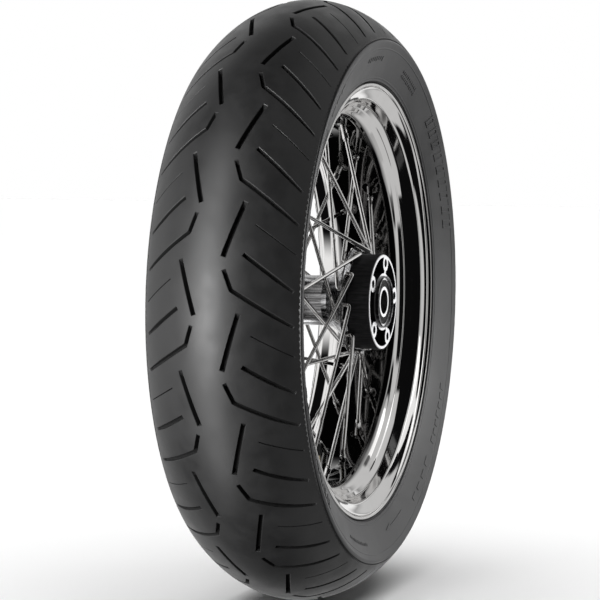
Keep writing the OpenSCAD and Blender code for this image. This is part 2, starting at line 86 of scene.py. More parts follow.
def tint(name, text, value):
    """A linear colour."""
    return bpy.props.FloatVectorProperty(
        name=name, description=text, default=value, size=3, min=0.0, max=1.0, subtype="COLOR"
    )


def amount(name, text, value, low=0.0, high=1.0):
    """A plain number."""
    return bpy.props.FloatProperty(
        name=name, description=text, default=value, min=low, max=high, precision=3
    )


class TyreSizes(bpy.types.PropertyGroup):
    """Sizes of the tyre's outside."""

    radius: length("Tread radius", "Wheel centre to the crown of the tread", 0.318)
    half_width: length("Half width", "Centre plane to the widest point", 0.082)
    crown_drop: length("Crown drop", "Radial drop from the crown to the widest point", 0.0446)
    crown_power: amount("Shoulder fullness", "Exponent of the crown's curve", 1.7, 1.0, 3.0)
    tread_span: angle(
        "Tread span", "Half angle of the crown curve that the tread covers", radians(79.0), 0.5, 1.5
    )
    tread_depth: length("Tread thickness", "Rubber between the crown and the belt", 0.0093)
    groove_depth: length("Groove depth", "Depth of the main grooves", 0.006)
    pitches: count("Pitches", "Repeats of the groove pattern", 18, 6, 36)


class RimSizes(bpy.types.PropertyGroup):
    """Sizes of the rim."""

    seat_radius: length("Bead seat radius", "Radius of the bead seat at the flange", 0.2169)
    width: length("Width", "Distance between the flanges", 0.1143)
    well_radius: length("Well radius", "Radius of the well's floor on the tyre side", 0.199)
    well_wall: length("Well thickness", "Thickness of the well's floor", 0.004)
    boss_height: length("Boss height", "How far the dimple round each nipple stands proud", 0.001)
    boss_radius: length("Boss radius", "Radius of the dimple round each nipple", 0.0085)


class SpokeSizes(bpy.types.PropertyGroup):
    """Sizes of the spokes and nipples."""

    wire: length("Wire diameter", "Plain part of a spoke", 0.004)
    butt: length("Butt diameter", "Thick end of a spoke at the hub", 0.0046)
    per_row: count("Spokes in a row", "Spokes in each of the four rows", 10, 4, 12)
    lacing: angle("Lacing angle", "Turn of each spoke from the hub to the rim", radians(72))
    nipple: length("Nipple radius", "Radius of a nipple's shank", 0.00315)


class HubSizes(bpy.types.PropertyGroup):
    """Sizes of the hub, its carriers and its bearings."""

    brake_face: length("Brake face", "Disc seat to the centre plane", 0.0785)
    drive_face: length("Sprocket face", "Sprocket seat to the centre plane", 0.072)
    hole_circle: length("Spoke circle", "Radius of the circle of spoke holes", 0.054)
    bore: length("Bore radius", "Radius of the bearings' bore", 0.0125)


class Colours(bpy.types.PropertyGroup):
    """Base colours of the wheel's finishes."""

    tread: tint("Tread", "Rubber of the tread", (0.012, 0.012, 0.0122))
    sidewall: tint("Sidewall", "Rubber of the sidewalls", (0.04, 0.04, 0.041))
    chrome: tint("Chrome", "Plating of rim and spokes", (0.80, 0.79, 0.78))
    alloy: tint("Alloy", "Polished alloy of the hub", (0.62, 0.62, 0.63))
    drum: tint("Drum", "Dark turned side of the carriers", (0.045, 0.045, 0.048))
    steel: tint("Steel", "Ground steel of the bearings", (0.55, 0.55, 0.56))
    brass: tint("Brass", "Plated brass of the valve", (0.62, 0.55, 0.40))
    floor: tint("Floor", "Studio floor", (0.86, 0.86, 0.86))


class StageSizes(bpy.types.PropertyGroup):
    """Camera and lights."""

    azimuth: angle("Azimuth", "Camera's angle round the wheel", radians(-71.55))
    elevation: angle("Elevation", "Camera's angle above the axle", radians(4.52))
    distance: length("Distance", "Camera to the wheel's centre", 2.996)
    lens: amount("Focal length", "Lens for a 36 mm sensor", 168.9, 20.0, 300.0)
    key: amount("Key light", "Radiance of the soft box in front of the tread", 22.0, 0.0, 100.0)
    wall_fill: amount("Wall light", "Radiance of the soft box beside the sidewall", 6.0, 0.0, 100.0)
    fill: amount("Fill light", "Radiance of the soft box on the brake side", 1.0, 0.0, 100.0)
    ambient: amount("Ambient", "Radiance of the room on dull surfaces", 0.06, 0.0, 10.0)


GROUPS = {
    "wheel_tyre": TyreSizes,
    "wheel_rim": RimSizes,
    "wheel_spokes": SpokeSizes,
    "wheel_hub": HubSizes,
    "wheel_colours": Colours,
    "wheel_stage": StageSizes,
}


# ---------------------------------------------------------------- finishes


class Value:
    """An output socket that takes part in sums, each sum adding a Math node."""

    def __init__(self, finish, socket):
        self.finish = finish
        self.socket = socket

    def math(self, operation, *others):
        return self.finish.node("ShaderNodeMath", {"operation": operation}, [self, *others])

    def __add__(self, other):
        return self.math("ADD", other)

    __radd__ = __add__

    def __sub__(self, other):
        return self.math("SUBTRACT", other)

    def __rsub__(self, other):
        return self.finish.node("ShaderNodeMath", {"operation": "SUBTRACT"}, [other, self])

    def __mul__(self, other):
        return self.math("MULTIPLY", other)

    __rmul__ = __mul__

    def __pow__(self, other):
        return self.math("POWER", other)

    def step(self, low, high):
        """0 below low and 1 above high, with a soft change between."""
        return self.finish.node(
            "ShaderNodeMapRange", {"interpolation_type": "SMOOTHSTEP"}, {0: self, 1: low, 2: high}
        )


class Graph:
    """A node tree under construction."""

    def __init__(self, tree):
        self.tree = tree

    def put(self, socket, value):
        """Links a value to a socket, or sets a number or a colour on it."""
        if isinstance(value, Value):
            self.tree.links.new(value.socket, socket)
        elif hasattr(socket.default_value, "__len__") and not hasattr(value, "__len__"):
            socket.default_value = [value] * len(socket.default_value)
        elif hasattr(value, "__len__") and len(socket.default_value) == 4:
            socket.default_value = (*value[:3], 1.0)
        else:
            socket.default_value = value

    def node(self, kind, settings=None, inputs=None, output=0):
        """Adds a node, sets it up, fills its sockets and returns one of its outputs."""
        made = self.tree.nodes.new(kind)
        for key, value in (settings or {}).items():
            setattr(made, key, value)
        pairs = inputs.items() if isinstance(inputs, dict) else enumerate(inputs or [])
        for key, value in pairs:
            self.put(made.inputs[key], value)
        return Value(self, made.outputs[output])

    def axes(self, point):
        """X, Y and Z of a vector."""
        return [self.node("ShaderNodeSeparateXYZ", None, [point], k) for k in range(3)]

    def from_axle(self, point):
        """A point's distance from the axle, and its side distance."""
        x, y, z = self.axes(point)
        return (x * x + z * z).math("SQRT"), y

    def mix(self, factor, a, b):
        return self.node("ShaderNodeMix", {"data_type": "RGBA"}, {0: factor, 6: a, 7: b}, 2)


class Finish(Graph):
    """A procedural material under construction."""

    def __init__(self, name, **constants):
        self.material = bpy.data.materials.new(name)
        self.material.use_nodes = True
        super().__init__(self.material.node_tree)
        self.shader = self.tree.nodes["Principled BSDF"]
        for socket, value in constants.items():
            self.shader.inputs[socket.replace("_", " ")].default_value = value

    def place(self):
        """The surface point in the wheel's frame, in metres."""
        return self.node("ShaderNodeTexCoord", output=3)

    def noise(self, point, scale, detail=2.0, roughness=0.5):
        return self.node(
            "ShaderNodeTexNoise",
            {"noise_dimensions": "3D"},
            {"Vector": point, "Scale": scale, "Detail": detail, "Roughness": roughness},
        )

    def stretched(self, point, scales):
        return self.node("ShaderNodeVectorMath", {"operation": "MULTIPLY"}, [point, scales])

    def joined(self, x, y, z):
        return self.node("ShaderNodeCombineXYZ", None, [x, y, z])

    def bump(self, height, distance, strength=1.0, normal=None):
        inputs = {"Height": height, "Distance": distance, "Strength": strength}
        if normal:
            inputs["Normal"] = normal
        return self.node("ShaderNodeBump", None, inputs)

    def edges(self, radius):
        """A normal that rounds sharp edges off."""
        return self.node("ShaderNodeBevel", {"samples": 4}, {"Radius": radius})

    def paint(self, **sockets):
        for socket, value in sockets.items():
            self.put(self.shader.inputs[socket.replace("_", " ")], value)
        return self.material


def scaled(colour, by):
    """A colour made darker or brighter."""
    return tuple(min(1.0, c * by) for c in colour)


def tread_rubber(colour, tyre):
    """Rubber that is matt down in the grooves, where its colour is also darkened as painted shade.
    """
    f = Finish("tread rubber", Specular_IOR_Level=0.45)
    p = f.place()
    radius, y = f.from_axle(p)
    level = (1.0 - y * y * (tyre.half_width ** -2.0)).math("MAXIMUM", 0.0).math("SQRT")
    crown = tyre.radius - tyre.crown_drop * (1.0 - level**tyre.crown_power)
    # how far a point lies below the crown: the grooves get painted shade in their colour and a matt
    # finish
    groove_shade_and_matt = (crown - radius).step(0.0002, 0.0011)
    cloud = f.noise(p, 34.0, 4.0, 0.6).step(0.3, 0.7)
    grain = f.noise(p, 900.0, 2.0)
    fine = f.noise(p, 2600.0, 1.0)
    base = f.mix(cloud, scaled(colour, 0.86), scaled(colour, 1.16))
    base = f.mix(grain.step(0.62, 0.8) * 0.35, base, scaled(colour, 1.9))
    return f.paint(
        # painted shade: the grooves' colour is darkened to 0.15 of the rubber's
        Base_Color=f.mix(groove_shade_and_matt, base, scaled(colour, 0.15)),
        Roughness=0.42 + cloud * 0.10 + (grain - 0.5) * 0.10 + groove_shade_and_matt * 0.45,
        Normal=f.bump(grain * 0.6 + fine * 0.4, 0.00010, 0.55),
    )


def sidewall_rubber(colour):
    f = Finish("sidewall rubber", Specular_IOR_Level=0.5)
    p = f.place()
    cloud = f.noise(p, 22.0, 4.0, 0.62).step(0.3, 0.7)
    grain = f.noise(p, 1400.0, 2.0)
    base = f.mix(cloud, scaled(colour, 0.84), scaled(colour, 1.2))
    return f.paint(
        Base_Color=base,
        Roughness=0.40 + cloud * 0.10 + (grain - 0.5) * 0.08,
        Normal=f.bump(grain, 0.00005, 0.5),
    )


def plain_rubber(name, colour, scale=600.0):
    f = Finish(name, Specular_IOR_Level=0.4)
    p = f.place()
    cloud = f.noise(p, 30.0, 3.0)
    grain = f.noise(p, scale, 2.0)
    return f.paint(
        Base_Color=f.mix(cloud, scaled(colour, 0.8), scaled(colour, 1.25)),
        Roughness=0.55 + grain * 0.2,
        Normal=f.bump(grain, 0.00008, 0.5),
    )


def corded(name, colour, gum, turns):
    """Parallel cords laid across the tyre under a skin of gum."""
    f = Finish(name)
    p = f.place()
    x, y, z = f.axes(p)
    around = f.node("ShaderNodeMath", {"operation": "ARCTAN2"}, [z, x])
    phase = around * turns + y * 900.0
    cord = phase.math("SINE") * 0.5 + 0.5
    return f.paint(
        Base_Color=f.mix(cord, gum, colour),
        Roughness=0.6 - cord * 0.15,
        Normal=f.bump(cord, 0.0004, 0.7),
    )


def chrome(colour, name="chrome plate", rough=0.045, well=0.0):
    """Bright plating. Nearer the axle than a well radius its colour is darkened: painted shade for
    the well's dark reflections.
    """
    f = Finish(name, Metallic=1.0)
    p = f.place()
    haze = f.noise(p, 60.0, 4.0, 0.6)
    pits = f.noise(p, 1800.0, 2.0).step(0.70, 0.82)
    base = f.mix(haze, scaled(colour, 0.94), scaled(colour, 1.03))
    if well:
        radius, _ = f.from_axle(p)
        # painted shade: the plating is darkened nearer the axle than the well radius
        well_shade = 1.0 - radius.step(well - 0.003, well + 0.001)
        base = f.mix(well_shade, base, scaled(colour, 0.22))
    return f.paint(
        Base_Color=base,
        Roughness=rough + haze * 0.03 + pits * 0.10,
        Normal=f.bump(f.noise(p, 24.0, 2.0), 0.0003, 0.10),
    )


def turned_alloy(colour):
    """Polished alloy with fine streaks along the axle."""
    f = Finish("polished alloy", Metallic=1.0)
    p = f.place()
    streak = f.noise(f.stretched(p, (1.0, 0.05, 1.0)), 420.0, 4.0, 0.65)
    haze = f.noise(p, 45.0, 4.0)
    return f.paint(
        Base_Color=f.mix(streak.step(0.35, 0.7), scaled(colour, 0.22), scaled(colour, 0.95)),
        Roughness=0.09 + streak * 0.08 + haze * 0.04,
        Normal=f.bump(streak, 0.00008, 0.5, f.edges(0.0004)),
    )


def carrier_paint(drum, bright, face):
    """Dark streaked drum whose outermost face, past the given distance, is bare metal."""
    f = Finish("carrier", Specular_IOR_Level=0.5)
    p = f.place()
    radius, y = f.from_axle(p)
    outside = y.math("ABSOLUTE").step(face - 0.0009, face - 0.0004)
    streak = f.noise(f.stretched(p, (1.0, 0.10, 1.0)), 520.0, 5.0, 0.7)
    rings = f.noise(f.joined(radius, 0.0, 0.0), 3200.0, 2.0)
    base = f.mix(streak.step(0.35, 0.75), scaled(drum, 0.7), scaled(drum, 2.0))
    relief = streak * (1.0 - outside) + rings * outside * 0.4
    return f.paint(
        Base_Color=f.mix(outside, base, bright),
        Metallic=outside * 0.45 + 0.55,
        Roughness=0.42 + streak * 0.12 - outside * 0.22 + outside * rings * 0.15,
        Normal=f.bump(relief, 0.00018, 0.5, f.edges(0.0005)),
    )


def ground_steel(colour, name="ground steel"):
    f = Finish(name, Metallic=1.0)
    p = f.place()
    radius, y = f.from_axle(p)
    rings = f.noise(f.joined(radius, y, 0.0), 3600.0, 2.0)
    haze = f.noise(p, 120.0, 3.0)
    return f.paint(
        Base_Color=f.mix(haze, scaled(colour, 0.85), scaled(colour, 1.1)),
        Roughness=0.18 + rings * 0.16,
        Normal=f.bump(rings, 0.00004, 0.4, f.edges(0.0003)),
    )


def plated_brass(colour):
    f = Finish("plated brass", Metallic=1.0)
    p = f.place()
    haze = f.noise(p, 160.0, 3.0)
    return f.paint(
        Base_Color=f.mix(haze, scaled(colour, 0.75), scaled(colour, 1.1)),
        Roughness=0.26 + haze * 0.15,
        Normal=f.bump(f.noise(p, 2200.0, 2.0), 0.00003, 0.5, f.edges(0.0002)),
    )


def cap_plastic():
    f = Finish("cap plastic", Specular_IOR_Level=0.45)
    grain = f.noise(f.place(), 1800.0, 2.0)
    return f.paint(
        Base_Color=f.mix(grain, (0.012, 0.012, 0.012), (0.022, 0.022, 0.022)),
        Roughness=0.42 + grain * 0.15,
        Normal=f.bump(grain, 0.00004, 0.5, f.edges(0.0002)),
    )


def floor_paint(colour):
    f = Finish("studio floor", Specular_IOR_Level=0.2)
    p = f.place()
    cloud = f.noise(p, 1.2, 2.0)
    return f.paint(
        Base_Color=f.mix(cloud, scaled(colour, 0.99), scaled(colour, 1.01)),
        Roughness=0.7 + cloud * 0.1,
    )


FINISHES = {}


def finish(name):
    """The finish of that name, made the first time that it is asked for."""
    if name not in FINISHES:
        scene = bpy.context.scene
        c, hub, rim = scene.wheel_colours, scene.wheel_hub, scene.wheel_rim
        makers = {
            "tread": lambda: tread_rubber(c.tread, scene.wheel_tyre),
            "sidewall": lambda: sidewall_rubber(c.sidewall),
            "belt": lambda: corded("steel belt", (0.34, 0.30, 0.24), (0.05, 0.045, 0.04), 400.0),
            "casing": lambda: corded("casing plies", (0.10, 0.09, 0.08), (0.03, 0.03, 0.03), 900.0),
            "liner": lambda: plain_rubber("inner liner", (0.03, 0.03, 0.03)),
            "filler": lambda: plain_rubber("bead filler", (0.035, 0.032, 0.03)),
            "tube": lambda: plain_rubber("tube rubber", (0.028, 0.028, 0.03), 300.0),
            "tape": lambda: plain_rubber("rim tape", (0.05, 0.05, 0.05), 800.0),
            "bead": lambda: ground_steel((0.5, 0.42, 0.3), "bead wire"),
            "rim": lambda: chrome(c.chrome, "rim chrome", 0.03, rim.well_radius),
            "spoke": lambda: chrome(c.chrome, "spoke chrome", 0.06),
            "nipple": lambda: chrome(scaled(c.chrome, 0.95), "nipple nickel", 0.10),
            "hub": lambda: turned_alloy(c.alloy),
            "disc_carrier": lambda: carrier_paint(c.drum, c.alloy, hub.brake_face),
            "sprocket_carrier": lambda: carrier_paint(c.drum, c.alloy, hub.drive_face),
            "steel": lambda: ground_steel(c.steel),
            "seal": lambda: plain_rubber("bearing seal", (0.02, 0.02, 0.021), 1500.0),
            "brass": lambda: plated_brass(c.brass),
            "cap": cap_plastic,
            "floor": lambda: floor_paint(c.floor),
        }
        FINISHES[name] = makers[name]()
    return FINISHES[name]


# ---------------------------------------------------------------- shapes


class Shape:
    """Points in millimetres and faces with the normals that they are shaded with."""

    def __init__(self):
        self.points = []
        self.faces = []
        self.normals = []

    def add(self, points):
        start = len(self.points)
        self.points.extend(tuple(p) for p in points)
        return start

    def face(self, corners, normals=None):
        """Adds a face, dropping corners that are the same point. Without normals it is flat."""
        kept = [k for k in range(len(corners)) if corners[k] != corners[k - 1]]
        if len(set(corners[k] for k in kept)) < 3:
            return
        corners = [corners[k] for k in kept]
        if normals is None:
            flat = newell([self.points[c] for c in corners])
            normals = [flat] * len(corners)
        else:
            normals = [normals[k] for k in kept]
        self.faces.append(corners)
        self.normals.extend(normals)

    def build(self, name, material):
        mesh = bpy.data.meshes.new(name)
        mesh.from_pydata([(x * MM, y * MM, z * MM) for x, y, z in self.points], [], self.faces)
        mesh.polygons.foreach_set("use_smooth", [True] * len(self.faces))
        mesh.normals_split_custom_set([tuple(n) for n in self.normals])
        mesh.update()
        mesh.materials.append(material)
        made = bpy.data.objects.new(name, mesh)
        bpy.context.scene.collection.objects.link(made)
        return made


def newell(points):
    """The normal of a polygon."""
    n = Vector((0.0, 0.0, 0.0))
    for a, b in zip(points, points[1:] + points[:1]):
        n += Vector(a).cross(Vector(b))
    return tuple(n.normalized())


def settle(piece, body, nodes):
    """Puts a finished piece on its body, in place of its CAD nodes."""
    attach(piece, body)
    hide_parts(*nodes)


def rounded(outline, steps=3):
    """Turns a closed outline's corners (radius, side, rounding) into points with normals.

    A rounding of 0 keeps the corner sharp and a negative one shades it smoothly as it is.
    """
    corners = [(Vector(c[:2]), c[2] if len(c) > 2 else 0.0) for c in outline]
    total = len(corners)
    ends = corners[1:] + corners[:1]
    area = sum(a[0].x * b[0].y - a[0].y * b[0].x for a, b in zip(corners, ends))
    turn = 1.0 if area > 0 else -1.0
    made = []
    for i, (p, size) in enumerate(corners):
        before, after = corners[i - 1][0], corners[(i + 1) % total][0]
        a, b = (p - before).normalized(), (after - p).normalized()
        na, nb = Vector((a.y, -a.x)) * turn, Vector((b.y, -b.x)) * turn
        reach = min(size, (p - before).length * 0.49, (after - p).length * 0.49)
        if size < 0 or (na - nb).length < 1e-6:
            n = (na + nb).normalized()
            made.append((p.x, p.y, n.x, n.y))
        elif size == 0:
            made.append((p.x, p.y, na.x, na.y))
            made.append((p.x, p.y, nb.x, nb.y))
        else:
            for k in range(steps + 1):
                t = k / steps
                q = (p - a * reach) * (1 - t) ** 2 + p * 2 * t * (1 - t) + (p + b * reach) * t**2
                n = na.lerp(nb, t).normalized()
                made.append((q.x, q.y, n.x, n.y))
    return made


def lathe(shape, section, steps, place=None, lift=None):
    """Turns a closed section round local Z, which is the wheel's Y when no place is given.

    Lift may move the points, given as arrays over the angles and the section.
    """
    sec = np.array(section, float)
    angles = np.linspace(0, 2 * pi, steps, endpoint=False)
    c, s = np.cos(angles)[:, None], np.sin(angles)[:, None]
    ones = np.ones_like(c)
    points = np.stack([sec[:, 0] * c, sec[:, 0] * s, sec[:, 1] * ones], -1)
    normals = np.stack([sec[:, 2] * c, sec[:, 2] * s, sec[:, 3] * ones], -1)
    if lift is not None:
        points, normals = lift(points, normals, angles, sec)
    if place is None:
        points, normals = points[..., [0, 2, 1]], normals[..., [0, 2, 1]]
        mirrored = True
    else:
        m = np.array(place, float)
        points = points @ m[:3, :3].T + m[:3, 3]
        normals = normals @ m[:3, :3].T
        mirrored = np.linalg.det(m[:3, :3]) < 0
    total = len(sec)
    same = [i > 0 and bool(np.allclose(sec[i, :2], sec[i - 1, :2])) for i in range(total)]
    column, used = [], 0
    for i in range(total):
        used += 0 if same[i] else 1
        column.append(used - 1)
    if np.allclose(sec[0, :2], sec[-1, :2]):
        last = column[-1]
        column = [0 if k == last else k for k in column]
        used = last
    keep = [column.index(k) for k in range(used)]
    start = shape.add(points[:, keep].reshape(-1, 3).tolist())
    around = normals.tolist()
    area = sum(
        sec[i][0] * sec[(i + 1) % total][1] - sec[i][1] * sec[(i + 1) % total][0]
        for i in range(total)
    )
    flip = (area > 0) != mirrored
    pairs = [(i, (i + 1) % total) for i in range(total)]
    pairs = [(i, k) for i, k in pairs if column[i] != column[k]]
    for j in range(steps):
        n = (j + 1) % steps
        for i, k in pairs:
            corners = [start + j * used + column[i], start + n * used + column[i]]
            corners += [start + n * used + column[k], start + j * used + column[k]]
            shades = [around[j][i], around[n][i], around[n][k], around[j][k]]
            if not flip:
                corners.reverse()
                shades.reverse()
            shape.face(corners, shades)


def tube(shape, path, radii, sides=16):
    """Sweeps a circle of changing radius along a path and closes both ends."""
    path = [Vector(p) for p in path]
    ahead = [(b - a).normalized() for a, b in zip(path, path[1:])]
    ahead = [ahead[0]] + [(a + b).normalized() for a, b in zip(ahead, ahead[1:])] + [ahead[-1]]
    across = ahead[0].orthogonal().normalized()
    rings, outs = [], []
    for p, d, r in zip(path, ahead, radii):
        across = (across - d * across.dot(d)).normalized()
        other = d.cross(across)
        turns = [2 * pi * k / sides for k in range(sides)]
        ring = [across * cos(t) + other * sin(t) for t in turns]
        outs.append([tuple(v) for v in ring])
        rings.append(shape.add([p + v * r for v in ring]))
    for i in range(len(path) - 1):
        for k in range(sides):
            n = (k + 1) % sides
            shape.face(
                [rings[i] + k, rings[i] + n, rings[i + 1] + n, rings[i + 1] + k],
                [outs[i][k], outs[i][n], outs[i + 1][n], outs[i + 1][k]],
            )
    shape.face([rings[0] + k for k in range(sides - 1, -1, -1)])
    shape.face([rings[-1] + k for k in range(sides)])


def polar(radius, at, side):
    """A point in millimetres at a distance from the axle, an angle round it and a side distance."""
    return Vector((radius * cos(at), side, radius * sin(at)))


def bent(path, corner, reach, steps=6):
    """Rounds one corner of a path over a distance to each side of it."""
    a, p, b = path[corner - 1], path[corner], path[corner + 1]
    start = p + (a - p).normalized() * reach
    end = p + (b - p).normalized() * reach
    arc = []
    for k in range(steps + 1):
        t = k / steps
        arc.append(start * (1 - t) ** 2 + p * 2 * t * (1 - t) + end * t**2)
    return path[:corner] + arc + path[corner + 1 :]


# ---------------------------------------------------------------- tyre


class Crown:
    """The tyre's outer curve: a distance along it from the crown line leads to a place."""

    def __init__(self, tyre):
        self.radius = tyre.radius / MM
        self.half = tyre.half_width / MM
        self.drop = tyre.crown_drop / MM
        self.power = tyre.crown_power
        self.turn = np.linspace(0, pi / 2, 4001)
        r, y = self.curve(self.turn)
        self.arc = np.concatenate([[0.0], np.cumsum(np.hypot(np.diff(r), np.diff(y)))])

    def curve(self, t):
        return self.radius - self.drop * (1 - np.cos(t) ** self.power), self.half * np.sin(t)

    def normal(self, t):
        fall = self.drop * self.power * np.cos(t) ** (self.power - 1) * np.sin(t)
        side = self.half * np.cos(t)
        size = np.hypot(fall, side) + 1e-12
        return side / size, fall / size

    def reach(self, t):
        return float(np.interp(t, self.turn, self.arc))

    def place(self, degrees, along, depth=0.0):
        """Points and normals for arrays of angle, distance along the curve and depth."""
        degrees, along = np.asarray(degrees, float), np.asarray(along, float)
        t = np.interp(np.abs(along), self.arc, self.turn)
        r, y = self.curve(t)
        nr, ny = self.normal(t)
        side = np.where(along < 0, -1.0, 1.0)
        a = np.radians(degrees)
        r, y = r - depth * nr, (y - depth * ny) * side
        points = np.stack([r * np.cos(a), y, r * np.sin(a)], -1)
        normals = np.stack([nr * np.cos(a), ny * side, nr * np.sin(a)], -1)
        return points, normals


# Grooves of one pitch, each with its stations (degrees round, millimetres from the crown line,
# half width, share of the full depth), the length of its ramp and that of its tail.
LEFT_START, RIGHT_START = 168.5, 178.0
LEFT_GROOVES = (
    (((0.0, 32.6, 2.3, 1.0), (9.9, 15.0, 2.5, 1.0)), 6.0, 1.0),
    (
        (
            (11.8, 18.0, 2.0, 1.0),
            (15.3, 24.5, 2.1, 1.0),
            (19.3, 62.0, 2.2, 0.8),
            (21.7, 85.0, 1.4, 0.2),
        ),
        5.0,
        4.0,
    ),
    (((8.8, 34.7, 2.0, 1.0), (12.4, 66.0, 2.2, 0.8), (14.4, 84.5, 1.4, 0.2)), 1.0, 4.0),
    (((3.6, 45.0, 0.55, 0.4), (8.0, 86.0, 0.5, 0.2)), 1.0, 2.0),
)
RIGHT_GROOVES = (
    (((0.0, 30.0, 2.3, 1.0), (10.1, 13.2, 2.5, 1.0)), 6.0, 1.0),
    (
        (
            (12.4, 14.6, 2.0, 1.0),
            (15.9, 22.5, 2.1, 1.0),
            (20.2, 62.0, 2.2, 0.8),
            (22.7, 85.5, 1.4, 0.2),
        ),
        5.0,
        4.0,
    ),
    (((9.5, 32.6, 2.0, 1.0), (13.6, 66.0, 2.2, 0.8), (15.8, 84.5, 1.4, 0.2)), 1.0, 4.0),
    (((4.0, 42.0, 0.55, 0.4), (8.6, 86.0, 0.5, 0.2)), 1.0, 2.0),
)
# The line between two pitches, clear of every groove: degrees round, share of the half width.
SEAM = (
    (187.5, 1.0),
    (181.6, 0.33),
    (179.4, 0.186),
    (178.6, 0.09),
    (169.8, -0.08),
    (169.2, -0.157),
    (171.3, -0.31),
    (177.5, -1.0),
)
SEAM_STEP, GROOVE_STEP = 4.5, 4.0  # millimetres between points along a seam and a groove
EDGE_STEPS = 16  # steps round each edge of a pitch
EDGE_LIP, GROOVE_LIP = 0.6, 0.35  # millimetres that the tread's edge and a groove's are rounded


class Groove:
    """One groove of the tread: three loops that step down from the surface to the floor."""

    def __init__(self, crown, keys, side, start, ramp, tail, depth):
        stations = []
        for a, b in zip(keys, keys[1:]):
            run = math.hypot((b[0] - a[0]) * crown.radius * pi / 180, b[1] - a[1])
            steps = max(2, round(run / GROOVE_STEP))
            for k in range(steps):
                stations.append([x + (y - x) * k / steps for x, y in zip(a, b)])
        stations.append(list(keys[-1]))
        st = np.array(stations)
        st[:, 0] += start
        st[:, 1] *= side
        flat = np.stack([np.radians(st[:, 0]) * crown.radius, st[:, 1]], -1)
        legs = np.diff(flat, axis=0)
        legs /= np.linalg.norm(legs, axis=1)[:, None]
        lefts = np.stack([-legs[:, 1], legs[:, 0]], -1)
        mid = lefts[:-1] + lefts[1:]
        mid /= np.linalg.norm(mid, axis=1)[:, None]
        mitre = 1.0 / np.clip((mid * lefts[1:]).sum(1), 0.5, 1.0)
        across = np.concatenate([lefts[:1], mid * mitre[:, None], lefts[-1:]])
        walked = np.concatenate([[0.0], np.cumsum(np.linalg.norm(np.diff(flat, axis=0), axis=1))])
        self.loops = []
        self.size = size = len(st)
        half, deep = st[:, 2], st[:, 3] * depth
        lip = np.minimum(GROOVE_LIP, half * 0.4)
        levels = (
            (half + lip, np.zeros(size), -lip[0], -lip[-1]),
            (half, lip, 0.0, 0.0),
            (half - np.minimum(0.10 * deep, half * 0.5), deep, ramp, tail),
        )
        for width, down, trim_start, trim_end in levels:
            spots = np.clip(walked, trim_start, walked[-1] - trim_end)
            spots[0], spots[-1] = trim_start, walked[-1] - trim_end
            centre = np.stack([self.along(walked, flat[:, k], spots) for k in range(2)], -1)
            left = centre + across * width[:, None]
            right = centre - across * width[:, None]
            loop = np.concatenate([left, right[::-1]])
            self.loops.append((loop, np.concatenate([down, down[::-1]])))

    @staticmethod
    def along(walked, values, spots):
        """Interpolates, and runs straight on past both ends."""
        made = np.interp(spots, walked, values)
        first = (values[1] - values[0]) / (walked[1] - walked[0])
        last = (values[-1] - values[-2]) / (walked[-1] - walked[-2])
        made = np.where(spots < 0, values[0] + first * spots, made)
        return np.where(spots > walked[-1], values[-1] + last * (spots - walked[-1]), made)


def inside(polygon, points):
    """Which points are inside a polygon."""
    x, y = points[:, 0], points[:, 1]
    found = np.zeros(len(points), bool)
    for (ax, ay), (bx, by) in zip(polygon, np.roll(polygon, -1, 0)):
        crosses = (ay > y) != (by > y)
        with np.errstate(divide="ignore", invalid="ignore"):
            at = (bx - ax) * (y - ay) / (by - ay) + ax
        found ^= crosses & (x < at)
    return found


def far_from(polygon, points, gap):
    """Which points are further than gap from a polygon's edges."""
    clear = np.ones(len(points), bool)
    for a, b in zip(polygon, np.roll(polygon, -1, 0)):
        d = b - a
        t = np.clip(((points - a) @ d) / (d @ d), 0, 1)
        clear &= np.linalg.norm(points - (a + t[:, None] * d), axis=1) > gap
    return clear


def seam_line(unit, rim_line):
    """The seam of a pitch laid out flat, from the left edge to the right edge."""
    points = [np.array([a * unit, v * rim_line]) for a, v in SEAM]
    line = []
    for p, q in zip(points, points[1:]):
        parts = max(1, round(np.linalg.norm(q - p) / SEAM_STEP))
        line += [p + (q - p) * k / parts for k in range(parts)]
    return np.array([*line, points[-1]])


def pitch_grooves(crown, tyre, border, shift):
    """The grooves of one pitch, each moved to lie between that pitch's seams."""
    deep = tyre.groove_depth / MM
    step = 360.0 / tyre.pitches
    made = []
    for table, side, start in (
        (LEFT_GROOVES, 1, LEFT_START),
        (RIGHT_GROOVES, -1, RIGHT_START - step),
    ):
        for keys, ramp, tail in table:
            groove = Groove(crown, keys, side, start, ramp, tail, deep)
            middle = groove.loops[0][0].mean(0)
            for k in (-1, 0, 1, 2):
                if inside(border, (middle + shift * k)[None])[0]:
                    groove.loops = [(loop + shift * k, down) for loop, down in groove.loops]
                    break
            made.append(groove)
    return made


def filler_points(border, outlines, rim_line, unit):
    """Points that even out the surface between the outlines, closer together at the edges."""
    low = border[:, 0].min()
    columns = int((border[:, 0].max() - low) / (2.5 * unit)) + 2
    grid = []
    for i in range(columns):
        for j, v in enumerate(np.linspace(-rim_line + 12.0, rim_line - 12.0, 37)):
            grid.append((low + (i + 0.5 * (j % 2)) * 2.5 * unit, v))
    for i in range(2 * columns):
        for j, inset in enumerate((1.5, 3.2, 5.0, 7.2, 9.6)):
            for side in (-1, 1):
                place = low + (i + 0.5 * (j % 2)) * 1.25 * unit
                grid.append((place, side * (rim_line - inset)))
    grid = np.array(grid)
    grid = grid[inside(border, grid) & far_from(border, grid, 1.2)]
    for outline in outlines:
        grid = grid[~inside(outline, grid) & far_from(outline, grid, 1.3)]
    return grid


